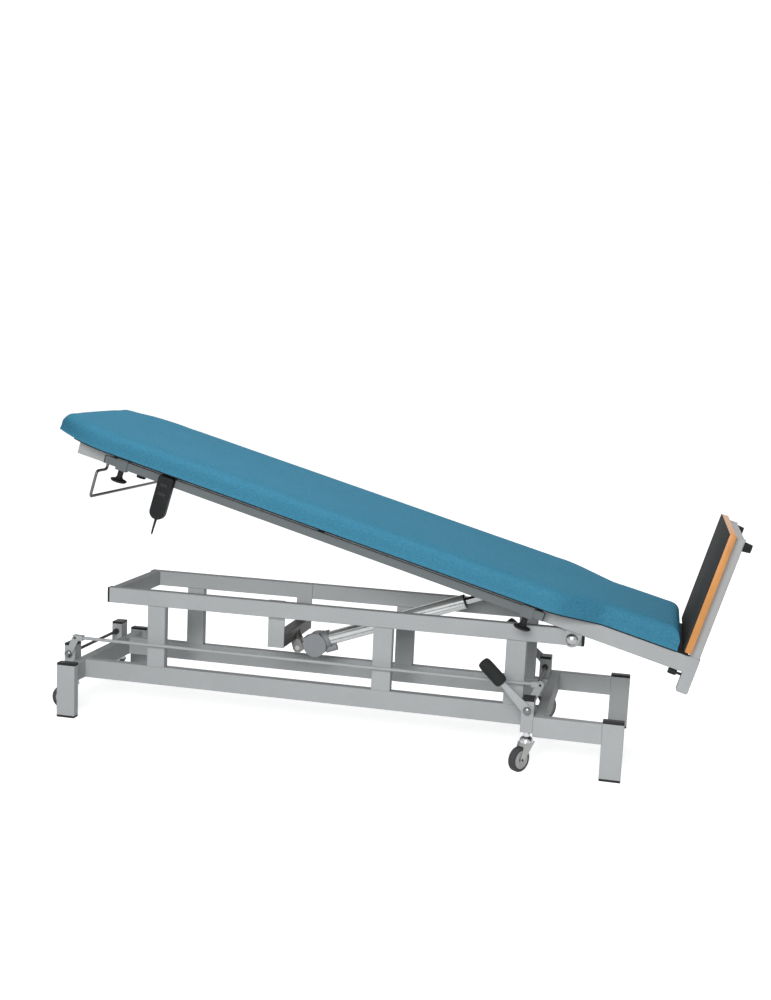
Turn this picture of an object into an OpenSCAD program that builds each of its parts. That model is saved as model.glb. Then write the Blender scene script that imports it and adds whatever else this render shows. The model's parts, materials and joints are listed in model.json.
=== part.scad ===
// Physiotherapy tilt table: a steel base on legs with lift casters, and a padded top
// that an electric actuator tilts from level to standing, with a footboard at its end.
// Millimetres, +Z up, +X towards the foot, -Y is the near side. The floor is Z = 0.
// The top is drawn level about its pivot and then turned to the tilt in the photo.

/* [Pose] */
// Tilt of the top as drawn, degrees above level
rest_tilt = 15.3; // [2:0.1:40]

/* [Base frame] */
// Outside width of the long lower rails and of the top rails
frame_w = 384; // [340:2:440]
// Outside width over the four legs
leg_span = 612; // [600:2:700]
// Thickness of every base tube across the table
tube_d = 30; // [25:1:32]
// Wall of the steel tubes
tube_wall = 2.5; // [1.5:0.5:3]
// Width of a leg along the table
leg_w = 62; // [50:2:70]
// Top of the leg tubes, below their caps
leg_top = 172; // [170:1:190]
// Underside of the lower rails
lower_z = 109; // [100:1:115]
// Height of the lower rails and cross members
lower_h = 60; // [50:1:60]
// Top of the top rails
top_z = 416; // [406:1:416]
// Height of the top rails
top_h = 50; // [40:1:54]
// Width of an upright along the table
upright_w = 60; // [40:2:70]
// Distance from the pivot back to the middle of the head legs
head_leg_x = 1575; // [1560:1:1600]
// Distance from the pivot forward to the middle of the foot legs
foot_leg_x = 139; // [120:1:180]
// Distance from the pivot back to the middle of the foot cross member
foot_cross_x = 74; // [70:1:84]
// Distance from the pivot back to the head end of the top rails
top_rail_back = 1478; // [1470:2:1490]
// Distance from the pivot forward to the foot end of the top rails
top_rail_front = 27; // [24:1:34]
// Distances from the pivot back to the middles of the three uprights
upright_head_x = 1315; // [1260:5:1400]
upright_mid_x = 571; // [500:5:650]
upright_foot_x = 163; // [163:1:200]
// Thickness of the plastic tube caps
cap_t = 8; // [5:0.5:9]
// Depth of the plug of a cap inside its tube
cap_plug = 12; // [6:1:20]
// Thickness of the rubber feet
foot_t = 8; // [5:1:9]

/* [Pivot] */
// Height of the tilt pivot above the floor
pivot_z = 391; // [390:1:394]
// Diameter of the pivot bolts
pivot_d = 20; // [14:1:22]
// Diameter of the domed head of a pivot bolt
pivot_dome_d = 36; // [28:1:40]
// Height of the domed head
pivot_dome_h = 15; // [8:1:18]
// Radius of the bracket plate around the pivot
bracket_r = 24; // [19:1:26]
// Thickness of the bracket plate
bracket_t = 8; // [5:1:10]

/* [Tabletop] */
// Outside width over the two main rails of the top
main_w = 442; // [432:2:460]
// Thickness of the main rails across the table
main_d = 25; // [20:1:25]
// Height of the main rails
main_h = 50; // [40:1:60]
// Height of the main rails' underside above the pivot, at right angles to the top
main_v = 21; // [20.5:0.5:30]
// Distance from the pivot back to the head end of the main rails
main_back = 1645; // [1620:1:1670]
// Distance from the pivot forward to the footboard sockets
socket_u = 324; // [322:1:340]
// Thickness of the black panel under the mattress
panel_t = 4; // [3:1:10]
// Thickness of the mattress at its edge
pad_t = 58; // [44:1:70]
// Rise of the mattress in its middle
pad_crown = 3; // [0:0.5:8]
// Full width of the mattress
pad_w = 640; // [620:2:680]
// Width of the mattress at its straight head edge
pad_head_w = 430; // [400:5:560]
// Width of the mattress beside the footboard
pad_foot_w = 464; // [440:2:500]
// Length of the eased corners at the head
pad_corner = 225; // [100:1:240]
// Distance from the pivot back to the head edge of the mattress
pad_back = 1730; // [1700:2:1740]
// Distance from the pivot forward to the foot edge of the mattress
pad_front = 292; // [280:1:296]
// Where the mattress starts to narrow, measured back from the pivot
pad_neck_start = 95; // [40:1:110]
// Where the narrowing ends, measured forward from the pivot
pad_neck_end = 64; // [40:1:90]
// Height and thickness of the accessory side rails
side_h = 25; // [20:1:30]
side_t = 10; // [8:1:12]
// Outside width over the side rails
side_w = 556; // [550:2:590]
// Height of a side rail's underside above the pivot
side_v = 33; // [30:1:40]
// Distances from the pivot back to the ends of the side rails
side_back = 1525; // [1515:1:1560]
side_front = 98; // [90:1:110]

/* [Footboard] */
// Width of the wooden board
board_w = 514; // [480:2:530]
// Thickness of the board
board_t = 20; // [15:1:22]
// Thickness of the rubber mat on the board
mat_t = 3; // [2:0.5:4]
// Height of the board's lower edge above the pivot line
board_v = 85; // [79:1:120]
// Height of the board
board_h = 359; // [300:1:380]
// Width of the footboard posts and sockets along the table
post_w = 35; // [30:1:40]
// Top of the footboard posts above the pivot line
post_top = 435; // [420:1:443]
// Depth of the sockets below the pivot line
socket_drop = 38; // [20:1:42]

/* [Actuator] */
// Distance from the pivot back to the rear pin
rear_x = 889; // [880:1:900]
// Height of the rear pin above the floor
rear_z = 236; // [225:1:240]
// Distance from the pivot back to the upper clevis, along the top
upper_u = 280; // [270:1:300]
// Height of the upper clevis above the pivot, at right angles to the top
upper_v = 0; // [0:0.5:6]
// Diameter and wall of the chromed outer tube
outer_d = 45; // [40:1:50]
outer_wall = 2.5; // [1.5:0.5:3]
// Distance along the actuator from the rear pin to the end of the outer tube
outer_end = 573; // [540:1:590]
// Diameter of the push rod
rod_d = 22; // [20:0.5:24]
// Radius of the round gear housing
gear_r = 38; // [32:1:42]
// Width of the gear housing across the table
gear_w = 66; // [56:1:80]

/* [Casters and pedals] */
// Width of a caster post along the table
cpost_w = 37; // [36:1:44]
// Depth of a caster post across the table
cpost_d = 50; // [44:1:54]
// Underside and top of the caster posts
cpost_z = 120; // [116:1:124]
cpost_top = 214; // [212:1:224]
// Height of the two cross shafts
shaft_z = 188; // [186:1:194]
// Diameter of the cross shafts
shaft_d = 10; // [8:1:12]
// Length of the cranks
crank_l = 62; // [54:1:70]
// Angle of the cranks above the floor plane
crank_angle = 66; // [60:1:75]
// Angle of the pedal arms above the floor plane
pedal_angle = 136; // [125:1:150]
// Length of a pedal arm from the shaft to the end of its grip
pedal_l = 194; // [160:1:210]
// Diameter of the rubber pedal grips
grip_d = 40; // [30:1:44]
// Diameter and width of the caster wheels
wheel_d = 74; // [60:1:76]
wheel_w = 22; // [16:1:24]
// Height of the wheels above the floor while the table stands on its feet
wheel_gap = 1; // [0.5:0.5:4]
// Distance from the swivel axis to the wheel axle
trail = 28; // [22:1:32]
// Angles by which the four casters are turned as drawn
near_foot_swivel = 55; // [0:5:355]
far_foot_swivel = 240; // [0:5:355]
near_head_swivel = 30; // [0:5:355]
far_head_swivel = 330; // [0:5:355]
// Diameter of the long link rod
link_d = 10; // [8:1:12]

/* [Small parts] */
// Diameter of the paper roll bar
bar_d = 9; // [6:1:10]
// Diameter of the clamp knobs
knob_d = 51; // [40:1:56]
// Diameter of the footboard lock knobs
lock_d = 18; // [16:0.5:19.5]
// Width, height and thickness of the handset
handset_w = 50; // [46:1:56]
handset_h = 138; // [120:1:145]
handset_t = 24; // [22:1:30]
// Diameter of the handset lead
lead_d = 5; // [4:0.5:6]

/* [Hidden] */

$fn = 48;

// Overrun of every cut, running clearance of turning and sliding fits, loose clearance
over = 2;
fit = 0.05;
loose = 0.3;

// Outer corner radius of the tubes, edge radius of caps and feet
tube_round = 3;
plate_round = 3.5;

// Place of the pivot, so that the whole box is centred on X = 0
pivot_x = 594.7;

// Colours
steel = [0.66, 0.68, 0.69];
rail_grey = [0.50, 0.52, 0.53];
black = [0.10, 0.11, 0.11];
chrome = [0.80, 0.82, 0.84];
zinc = [0.62, 0.60, 0.52];
dark_metal = [0.25, 0.25, 0.24];
housing_grey = [0.53, 0.54, 0.55];
blue = [0.24, 0.50, 0.64];
wood = [0.82, 0.58, 0.36];
rubber_grey = [0.24, 0.25, 0.25];

// Base levels and places
rail_y = (frame_w - tube_d) / 2;
leg_y = (leg_span - tube_d) / 2;
leg_inner = leg_span / 2 - tube_d;
lower_top = lower_z + lower_h;
top_under = top_z - top_h;
cross_w = tube_d;
head_cross_out = -head_leg_x - cross_w / 2;
head_cross_in = -head_leg_x + cross_w / 2;
foot_cross_in = -foot_cross_x - cross_w / 2;
foot_cross_out = -foot_cross_x + cross_w / 2;
foot_leg_in = foot_leg_x - leg_w / 2;

// Caster posts: the foot ones stand against the foot cross member, flush with the legs'
// outer faces, and the head ones stand behind the head cross member, over the rails
foot_cpost_x = foot_cross_in - cpost_w / 2;
head_cpost_x = head_cross_out - cpost_w / 2;
foot_cpost_y = leg_span / 2 - cpost_d / 2;
head_cpost_y = rail_y + over * 4;
cpost_wall = 2;
guide_h = 40;
stem_d = 20;
roller_r = 3;
lever_r = 15;
lever_w = 6;
lever_t = 16;
lever_angle = 210;

// Cross shafts, cranks and pedals
crank_t = 6;
crank_w = 20;
crank_y = 215;
crank_stud_d = 8;
hub_d = 20;
fork_l = 34;
fork_h = 16;
fork_w = 18;
fork_nose = 8;
fork_slot = 20;
arm_t = 6;
arm_gap = 2;
arm_root_w = 30;
arm_tip_w = 15;
grip_l = 88;
grip_round = 9;
arm_y = leg_span / 2 + arm_gap + arm_t / 2;
nut_d = 24;
nut_h = 10;
nut_skirt = 4;
foot_shaft_end = arm_y + arm_t / 2;
head_near_end = crank_y + crank_t / 2;
head_far_end = head_cpost_y + cpost_d / 2 + arm_gap;
crank_dx = crank_l * cos(crank_angle);
crank_dz = crank_l * sin(crank_angle);

// Casters
axle_z = wheel_gap + wheel_d / 2;
hub_w = 20;
caster_axle_d = 8;
caster_head_z = 88;
caster_head_h = 18;
caster_head_d = 42;
caster_plate_t = 4;
cheek_t = 2.5;
cheek_gap = 1;
tyre_round = 5;
hub_r_share = 0.62;
stem_gap = 2;
stem_top = shaft_z - lever_r * abs(sin(lever_angle)) - roller_r - stem_gap;

// Tabletop levels
panel_v = main_v + main_h;
pad_v = panel_v + panel_t;
main_inner = main_w / 2 - main_d;
main_y = main_w / 2 - main_d / 2;
side_y = side_w / 2 - side_t / 2;
cross_tube_w = 30;
cross_tube_h = 30;
cross_tube_v = panel_v - cross_tube_h;
pad_tube_u = -1434;
pad_tube_w = 36;
rest_pad_h = 15.4;
rest_pad_d = 30;
cross_tube_us = [-1600, -1100, -700, -upper_u, 215];
spacer_us = [-1508, -811, -115];
spacer_w = 20;
spacer_h = 15;
side_cap_t = 3;

// Upper clevis and actuator
ear_t = 6;
eye_w = 24;
ear_in = eye_w / 2 + loose;
ear_r = 17;
eye_r = 14;
clevis_d = 12;
clevis_head_d = 16;
clevis_head_h = 4;
drop_w = 53;
drop_t = 5;
drop_x = -948;
crossbar_h = 40;
crossbar_w = 40;
crossbar_z = 264;
drop_in = frame_w / 2 - tube_d - drop_t;
ear_rise = 28;
ear_back = 20;
upper_x = -upper_u * cos(rest_tilt) + upper_v * sin(rest_tilt);
upper_z = pivot_z + upper_u * sin(rest_tilt) + upper_v * cos(rest_tilt);
act_dx = upper_x + rear_x;
act_dz = upper_z - rear_z;
act_angle = atan2(act_dz, act_dx);
act_l = sqrt(act_dx * act_dx + act_dz * act_dz);
gear_s = 62;
gear_n = -6;
neck_w = 22;
block_s0 = 30;
block_s1 = 88;
block_top = 27;
collar_s0 = 84;
collar_s1 = 112;
collar_d = 56;
tube_s0 = 100;
plug_n = -33;
plug_d = 22;
plug_s1 = 124;
screw_d = 5;
screw_h = 1.2;
gland_l = 13;
spindle_d = 14;
spindle_end = 530;
rod_bore = 17;
rod_s0 = 190;
sleeve_s0 = 520;
sleeve_l = 35;

// Footboard
spigot_l = 103;
spigot_gap = 0.15;
post_cap_t = 2;
fb_tube_h = 30;
fb_tube_vs = [post_top - fb_tube_h, 278, 143];
socket_floor = 3;
socket_round = 6;
bumper_d = 29;
bumper_tip_d = 24;
bumper_l = 23;
bumper_v = 417;
lock_v = 11;
lock_l = 25;
lock_gap = 14;
lock_stem_d = 8;
lock_tip = 0.3;
lock_rim = 3;

// Clamps on the near side rail
clamp_us = [-1466, -146];
clamp_w = 36;
clamp_wall = 5;
clamp_skirt = 1;
boss_d = 18;
disc_h = 9;
disc_edge = 3;
flare_h = 8;
flare_w = 5;
knob_v = -9;
knob_stem_d = 10;

// Paper roll bar
bar_u = -1541;
bar_drop1 = 20;
bar_drop2 = 84.5;
bar_y0 = main_y;
bar_y1 = 278;
bar_bend = 10;

// Handset, its hook, buttons and lead
handset_u = -1308;
handset_top = 62;
handset_y1 = side_w / 2 + loose;
hook_t = 3.6;
hook_drop = 16;
button_w = 26;
button_h = 11;
button_t = 4;
button_proud = 1.5;
button_vs = [35, 7];
pocket_gap = 0.2;
relief_l = 30;
relief_d0 = 9;
relief_d1 = 6;
box_u = -640;
box_l = 130;
box_w = 90;
box_h = 38;
box_y = -165;
box_lip = 2;
inlet_d = 18;
inlet_l = 8;

// Shared shapes

// Both sides of the table
module both() { children(); mirror([0, 1, 0]) children(); }

// Everything that is fixed to the floor frame, with the pivot at X = 0
module at_base() { translate([pivot_x, 0, 0]) children(); }

// Everything on the tilting top: X runs down the top from the pivot, Z stands on it
module on_top() { translate([pivot_x, 0, pivot_z]) rotate([0, rest_tilt, 0]) children(); }

// Along the actuator: X runs from the rear pin to the upper clevis
module on_actuator() {
    translate([pivot_x - rear_x, 0, rear_z]) rotate([0, -act_angle, 0]) children();
}

// Box between two corners
module span(a, b) { translate(a) cube(b - a); }

// Rectangle with rounded corners, from the origin
module soft_rect(w, h, r) {
    translate([r, 0]) square([w - 2 * r, h]);
    translate([0, r]) square([w, h - 2 * r]);
    for (x = [r, w - r]) for (y = [r, h - r]) translate([x, y]) circle(r = r, $fn = 24);
}

// Bar with rounded long edges between two corners, along one axis
module soft_bar(a, b, axis, r) {
    d = b - a;
    translate(a) {
        if (axis == 2) linear_extrude(d[2]) soft_rect(d[0], d[1], r);
        if (axis == 1) translate([0, d[1], 0]) rotate([90, 0, 0]) linear_extrude(d[1]) soft_rect(d[0], d[2], r);
        if (axis == 0) rotate([90, 0, 90]) linear_extrude(d[0]) soft_rect(d[1], d[2], r);
    }
}

// Rectangular tube between two corners, open along one axis
module tube(a, b, axis, wall = tube_wall) {
    in_a = [for (i = [0:2]) i == axis ? a[i] - over : a[i] + wall];
    in_b = [for (i = [0:2]) i == axis ? b[i] + over : b[i] - wall];
    difference() { soft_bar(a, b, axis, tube_round); span(in_a, in_b); }
}

// Cap plate on the floor plane, w along X and d along Y, with its upper edges rounded
module soft_plate(w, d, h) {
    r = plate_round;
    intersection() {
        translate([-w / 2, -d / 2, 0]) linear_extrude(h) soft_rect(w, d, tube_round);
        translate([-w / 2, d / 2, -r]) rotate([90, 0, 0]) linear_extrude(d) soft_rect(w, h + r, r);
        translate([-w / 2, -d / 2, -r]) rotate([90, 0, 90]) linear_extrude(w) soft_rect(d, h + r, r);
    }
}

// Round bar along Y, centred on Y = 0 or from y0 to y1
module rod_y(d, y0, y1) { translate([0, y0, 0]) rotate([-90, 0, 0]) cylinder(d = d, h = y1 - y0); }

// Round bar along X
module rod_x(d, x0, x1) { translate([x0, 0, 0]) rotate([0, 90, 0]) cylinder(d = d, h = x1 - x0); }

// Plate in the X-Z plane from y0 to y1, from a flat outline
module plate_y(y0, y1) { translate([0, y1, 0]) rotate([90, 0, 0]) linear_extrude(y1 - y0) children(); }

// Domed nut whose flat side is at Y = 0 and whose dome points to -Y
module dome_nut(d, h, skirt) {
    rotate([90, 0, 0]) rotate_extrude($fn = 40) {
        square([d / 2, skirt]);
        intersection() {
            translate([0, skirt]) scale([1, (h - skirt) / (d / 2)]) circle(d = d);
            translate([0, skirt]) square([d / 2, h]);
        }
    }
}

// Base frame

module lower_rails() {
    color(steel) at_base() both()
        tube([head_cross_in, rail_y - tube_d / 2, lower_z],
             [foot_cross_in, rail_y + tube_d / 2, lower_top], 0);
}

module cross_members() {
    color(steel) at_base() {
        tube([head_cross_out, -leg_inner, lower_z], [head_cross_in, leg_inner, lower_top], 1);
        tube([foot_cross_in, -leg_inner, lower_z], [foot_cross_out, leg_inner, lower_top], 1);
        both() tube([foot_cross_in, leg_inner, lower_z], [foot_leg_in, leg_span / 2, lower_top], 0);
    }
}

module uprights() {
    color(steel) at_base() both()
        for (x = [upright_head_x, upright_mid_x, upright_foot_x])
            tube([-x - upright_w / 2, rail_y - tube_d / 2, lower_top],
                 [-x + upright_w / 2, rail_y + tube_d / 2, top_under], 2);
}

module top_frame() {
    color(steel) at_base() {
        both() difference() {
            tube([-top_rail_back, rail_y - tube_d / 2, top_under],
                 [top_rail_front, rail_y + tube_d / 2, top_z], 0);
            translate([0, 0, pivot_z]) rod_y(pivot_d + 2 * fit, 0, frame_w);
        }
        tube([-top_rail_back, -rail_y + tube_d / 2, top_under],
             [-top_rail_back + tube_d, rail_y - tube_d / 2, top_z], 1);
    }
}

module legs() {
    color(steel) at_base() both()
        for (x = [-head_leg_x, foot_leg_x])
            tube([x - leg_w / 2, leg_inner, foot_t], [x + leg_w / 2, leg_span / 2, leg_top], 2);
}

// Cap on an upright tube: a plate with a plug that hangs into the tube
module cap_z(x, y, w, d, z, wall) {
    translate([x, y, z]) soft_plate(w, d, cap_t);
    span([x - w / 2 + wall + loose, y - d / 2 + wall + loose, z - cap_plug],
         [x + w / 2 - wall - loose, y + d / 2 - wall - loose, z]);
}

// Cap on a rail that lies along X, with its plate outside x
module cap_x(x, dir, y, z0, z1) {
    mid = (z0 + z1) / 2;
    half = (z1 - z0) / 2;
    translate([x, y, mid]) mirror([dir < 0 ? 1 : 0, 0, 0]) {
        rotate([0, 90, 0]) soft_plate(2 * half, tube_d, cap_t);
        span([-cap_plug, -tube_d / 2 + tube_wall + loose, -half + tube_wall + loose],
             [0, tube_d / 2 - tube_wall - loose, half - tube_wall - loose]);
    }
}

module tube_caps() {
    color(black) at_base() both() {
        for (x = [-head_leg_x, foot_leg_x]) cap_z(x, leg_y, leg_w, tube_d, leg_top, tube_wall);
        cap_z(foot_cpost_x, foot_cpost_y, cpost_w, cpost_d, cpost_top, cpost_wall);
        cap_z(head_cpost_x, head_cpost_y, cpost_w, cpost_d, cpost_top, cpost_wall);
        cap_x(top_rail_front, 1, rail_y, top_under, top_z);
        cap_x(-top_rail_back, -1, rail_y, top_under, top_z);
    }
}

module leg_feet() {
    color(black) at_base() both()
        for (x = [-head_leg_x, foot_leg_x]) {
            translate([x, leg_y, foot_t]) mirror([0, 0, 1]) soft_plate(leg_w, tube_d, foot_t);
            span([x - leg_w / 2 + tube_wall + loose, leg_inner + tube_wall + loose, foot_t],
                 [x + leg_w / 2 - tube_wall - loose, leg_span / 2 - tube_wall - loose,
                  foot_t + cap_plug]);
        }
}

module drop_plates() {
    color(steel) at_base() both()
        span([drop_x, drop_in, crossbar_z], [drop_x + drop_w, drop_in + drop_t, top_z]);
}

// Crossbar between the drop plates with the two ears of the rear clevis
module actuator_crossbar() {
    face = drop_x + drop_w;
    color(dark_metal) at_base() {
        tube([face - crossbar_w, -drop_in, crossbar_z],
             [face, drop_in, crossbar_z + crossbar_h], 1);
        both() difference() {
            plate_y(ear_in, ear_in + ear_t) {
                translate([-rear_x, rear_z]) circle(r = ear_r);
                polygon([[face - ear_back, crossbar_z], [face, crossbar_z],
                         [face, crossbar_z + ear_rise],
                         [-rear_x + ear_r * cos(30), rear_z + ear_r * sin(30)],
                         [-rear_x, rear_z],
                         [-rear_x + ear_r * cos(200), rear_z + ear_r * sin(200)]]);
            }
            translate([-rear_x, 0, rear_z]) rod_y(clevis_d + 2 * fit, 0, eye_w);
        }
    }
}

// Rear pin with a head at each end
module clevis_pin() {
    reach = ear_in + ear_t + fit;
    color(zinc) translate([pivot_x - rear_x, 0, rear_z]) {
        rod_y(clevis_d, -reach - clevis_head_h, reach + clevis_head_h);
        both() rod_y(clevis_head_d, reach, reach + clevis_head_h);
    }
}

// Caster posts: a tube with a guide block for the stem at its foot and shaft bores
module caster_post(x, y) {
    translate([x, y, 0]) difference() {
        union() {
            tube([-cpost_w / 2, -cpost_d / 2, cpost_z], [cpost_w / 2, cpost_d / 2, cpost_top], 2,
                 cpost_wall);
            span([-cpost_w / 2 + cpost_wall / 2, -cpost_d / 2 + cpost_wall / 2, cpost_z],
                 [cpost_w / 2 - cpost_wall / 2, cpost_d / 2 - cpost_wall / 2,
                  cpost_z + guide_h]);
        }
        translate([0, 0, cpost_z - over]) cylinder(d = stem_d + 2 * fit, h = guide_h + 2 * over);
        translate([0, 0, shaft_z]) rod_y(shaft_d + 2 * fit, -cpost_d, cpost_d);
    }
}

module caster_posts() {
    color(steel) at_base() both() {
        caster_post(foot_cpost_x, foot_cpost_y);
        caster_post(head_cpost_x, head_cpost_y);
    }
}

// Lift gear

// Short lever with a roller, which presses on the top of a caster stem
module lift_lever(y) {
    translate([0, y, 0]) rotate([0, -lever_angle, 0]) {
        rod_y(hub_d - lever_w, -lever_t / 2, lever_t / 2);
        span([0, -lever_t / 2, -lever_w / 2], [lever_r, lever_t / 2, lever_w / 2]);
        translate([lever_r, 0, 0]) rod_y(2 * roller_r, -lever_t / 2, lever_t / 2);
    }
}

// Crank with the stud that carries the link rod
module crank() {
    translate([0, -crank_y, 0]) rotate([0, -crank_angle, 0]) {
        rod_y(hub_d, -crank_t / 2, crank_t / 2);
        span([0, -crank_t / 2, -crank_w / 2], [crank_l, crank_t / 2, crank_w / 2]);
        translate([crank_l, 0, 0]) {
            rod_y(crank_w, -crank_t / 2, crank_t / 2);
            rod_y(crank_stud_d, -fork_w / 2 - over, fork_w / 2 + over);
        }
    }
}

module foot_shaft() {
    color(dark_metal) translate([pivot_x + foot_cpost_x, 0, shaft_z]) {
        rod_y(shaft_d, -foot_shaft_end, foot_shaft_end);
        both() lift_lever(foot_cpost_y);
        both() translate([0, foot_cpost_y - cpost_d / 2 - over - nut_h, 0])
            rod_y(hub_d, 0, nut_h);
        crank();
    }
}

module head_shaft() {
    color(dark_metal) translate([pivot_x + head_cpost_x, 0, shaft_z]) {
        rod_y(shaft_d, -head_near_end, head_far_end);
        both() lift_lever(head_cpost_y);
        both() translate([0, head_cpost_y - cpost_d / 2 - over - nut_h, 0])
            rod_y(hub_d, 0, nut_h);
        crank();
    }
}

module pedal_arms() {
    color(steel) translate([pivot_x + foot_cpost_x, 0, shaft_z]) both()
        difference() {
            rotate([0, -pedal_angle, 0]) plate_y(arm_y - arm_t / 2, arm_y + arm_t / 2) {
                circle(d = arm_root_w);
                polygon([[0, -arm_root_w / 2], [pedal_l - grip_l, -arm_tip_w / 2],
                         [pedal_l - grip_round, -arm_tip_w / 2],
                         [pedal_l - grip_round, arm_tip_w / 2],
                         [pedal_l - grip_l, arm_tip_w / 2], [0, arm_root_w / 2]]);
            }
            rod_y(shaft_d, 0, leg_span);
        }
}

module pedal_grips() {
    color(black) translate([pivot_x + foot_cpost_x, 0, shaft_z]) both()
        translate([0, arm_y, 0]) rotate([0, -pedal_angle, 0]) difference() {
            translate([pedal_l - grip_l, 0, 0]) rotate([0, 90, 0]) rotate_extrude($fn = 40) {
                r = min(grip_round, grip_d / 4);
                square([grip_d / 2 - r, grip_l]);
                translate([0, r]) square([grip_d / 2, grip_l - 2 * r]);
                for (z = [r, grip_l - r]) translate([grip_d / 2 - r, z]) circle(r = r);
            }
            span([0, -arm_t / 2, -arm_tip_w / 2],
                 [pedal_l - grip_round, arm_t / 2, arm_tip_w / 2]);
        }
}

module foot_shaft_nuts() {
    color(chrome) translate([pivot_x + foot_cpost_x, 0, shaft_z]) both()
        translate([0, -foot_shaft_end, 0]) dome_nut(nut_d, nut_h, nut_skirt);
}

module head_shaft_nuts() {
    color(chrome) translate([pivot_x + head_cpost_x, 0, shaft_z]) {
        translate([0, -head_near_end, 0]) dome_nut(nut_d, nut_h, nut_skirt);
        translate([0, head_far_end, 0]) mirror([0, 1, 0]) dome_nut(nut_d, nut_h, nut_skirt);
    }
}

// Fork at one end of the link rod: the stud is at the origin and the rod goes to +X
module link_fork() {
    difference() {
        span([-fork_nose, -fork_w / 2, -fork_h / 2], [fork_l - fork_nose, fork_w / 2, fork_h / 2]);
        span([-fork_nose - over, -crank_t / 2 - loose, -fork_h],
             [fork_slot, crank_t / 2 + loose, fork_h]);
        rod_y(crank_stud_d + 2 * fit, -fork_w, fork_w);
    }
}

module link_rod() {
    x0 = head_cpost_x + crank_dx;
    x1 = foot_cpost_x + crank_dx;
    color(steel) translate([pivot_x, -crank_y, shaft_z + crank_dz]) {
        translate([x0, 0, 0]) link_fork();
        translate([x1, 0, 0]) mirror([1, 0, 0]) link_fork();
        rod_x(link_d, x0 + fork_l - fork_nose, x1 - fork_l + fork_nose);
    }
}

// Casters

module caster_at(x, y, turn) { translate([pivot_x + x, y, 0]) rotate([0, 0, turn]) children(); }

// Stem that slides in the post, with the head on which the fork turns
module caster_stem() {
    color(zinc) {
        translate([0, 0, caster_head_z + caster_head_h])
            cylinder(d = stem_d, h = stem_top - caster_head_z - caster_head_h);
        translate([0, 0, caster_head_z]) rotate_extrude($fn = 40) intersection() {
            scale([1, caster_head_h / (caster_head_d / 2)]) circle(d = caster_head_d);
            square([caster_head_d / 2, caster_head_h]);
        }
        translate([0, 0, caster_head_z + caster_head_h / 2])
            cylinder(d = stem_d, h = caster_head_h / 2);
    }
}

// Fork: a top plate under the head and two cheeks that slant back to the axle
module caster_fork() {
    y0 = wheel_w / 2 + cheek_gap;
    z1 = caster_head_z - fit;
    color(steel) difference() {
        union() {
            translate([0, 0, z1 - caster_plate_t]) intersection() {
                cylinder(d = caster_head_d, h = caster_plate_t);
                span([-caster_head_d, -y0 - cheek_t, 0], [caster_head_d, y0 + cheek_t, z1]);
            }
            both() plate_y(y0, y0 + cheek_t) {
                polygon([[-caster_head_d / 2, z1 - caster_plate_t], [-caster_head_d / 2, z1],
                         [caster_head_d / 2, z1], [caster_head_d / 2, z1 - caster_plate_t],
                         [-trail + caster_axle_d, axle_z - caster_axle_d / 2],
                         [-trail - caster_axle_d, axle_z + caster_axle_d / 2]]);
                translate([-trail, axle_z]) circle(d = 2 * caster_axle_d);
            }
        }
        translate([-trail, 0, axle_z]) rod_y(caster_axle_d + 2 * fit, -wheel_d, wheel_d);
    }
}

// Wheel: tyre and hub on an axle that turns in the fork
module caster_wheel() {
    reach = wheel_w / 2 + cheek_gap + cheek_t + over / 2;
    color(rubber_grey) translate([-trail, 0, axle_z]) {
        difference() {
            translate([0, -wheel_w / 2, 0]) rotate([-90, 0, 0]) rotate_extrude($fn = 64) {
                square([wheel_d / 2 - tyre_round, wheel_w]);
                translate([0, tyre_round]) square([wheel_d / 2, wheel_w - 2 * tyre_round]);
                for (z = [tyre_round, wheel_w - tyre_round])
                    translate([wheel_d / 2 - tyre_round, z]) circle(r = tyre_round);
            }
            both() difference() {
                rod_y(wheel_d * hub_r_share, wheel_w / 2 - over, wheel_w);
                rod_y(caster_axle_d * 2, 0, wheel_w);
            }
        }
        rod_y(caster_axle_d, -reach, reach);
    }
}

module near_foot_stem() { caster_at(foot_cpost_x, -foot_cpost_y, near_foot_swivel) caster_stem(); }
module near_foot_fork() { caster_at(foot_cpost_x, -foot_cpost_y, near_foot_swivel) caster_fork(); }
module near_foot_wheel() { caster_at(foot_cpost_x, -foot_cpost_y, near_foot_swivel) caster_wheel(); }
module far_foot_stem() { caster_at(foot_cpost_x, foot_cpost_y, far_foot_swivel) caster_stem(); }
module far_foot_fork() { caster_at(foot_cpost_x, foot_cpost_y, far_foot_swivel) caster_fork(); }
module far_foot_wheel() { caster_at(foot_cpost_x, foot_cpost_y, far_foot_swivel) caster_wheel(); }
module near_head_stem() { caster_at(head_cpost_x, -head_cpost_y, near_head_swivel) caster_stem(); }
module near_head_fork() { caster_at(head_cpost_x, -head_cpost_y, near_head_swivel) caster_fork(); }
module near_head_wheel() { caster_at(head_cpost_x, -head_cpost_y, near_head_swivel) caster_wheel(); }
module far_head_stem() { caster_at(head_cpost_x, head_cpost_y, far_head_swivel) caster_stem(); }
module far_head_fork() { caster_at(head_cpost_x, head_cpost_y, far_head_swivel) caster_fork(); }
module far_head_wheel() { caster_at(head_cpost_x, head_cpost_y, far_head_swivel) caster_wheel(); }

// Tabletop

// Pivot bolts: a shank through bracket and top rail, a domed head and an inner nut
module pivot_bolts() {
    inner = frame_w / 2 - tube_d;
    outer = main_w / 2 + loose;
    color(chrome) translate([pivot_x, 0, pivot_z]) both() {
        rod_y(pivot_d, inner - nut_h, outer + nut_skirt);
        translate([0, inner - loose - nut_h, 0]) rod_y(pivot_d + nut_h, 0, nut_h);
        translate([0, outer, 0]) mirror([0, 1, 0])
            dome_nut(pivot_dome_d, pivot_dome_h, nut_skirt);
    }
}

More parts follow.
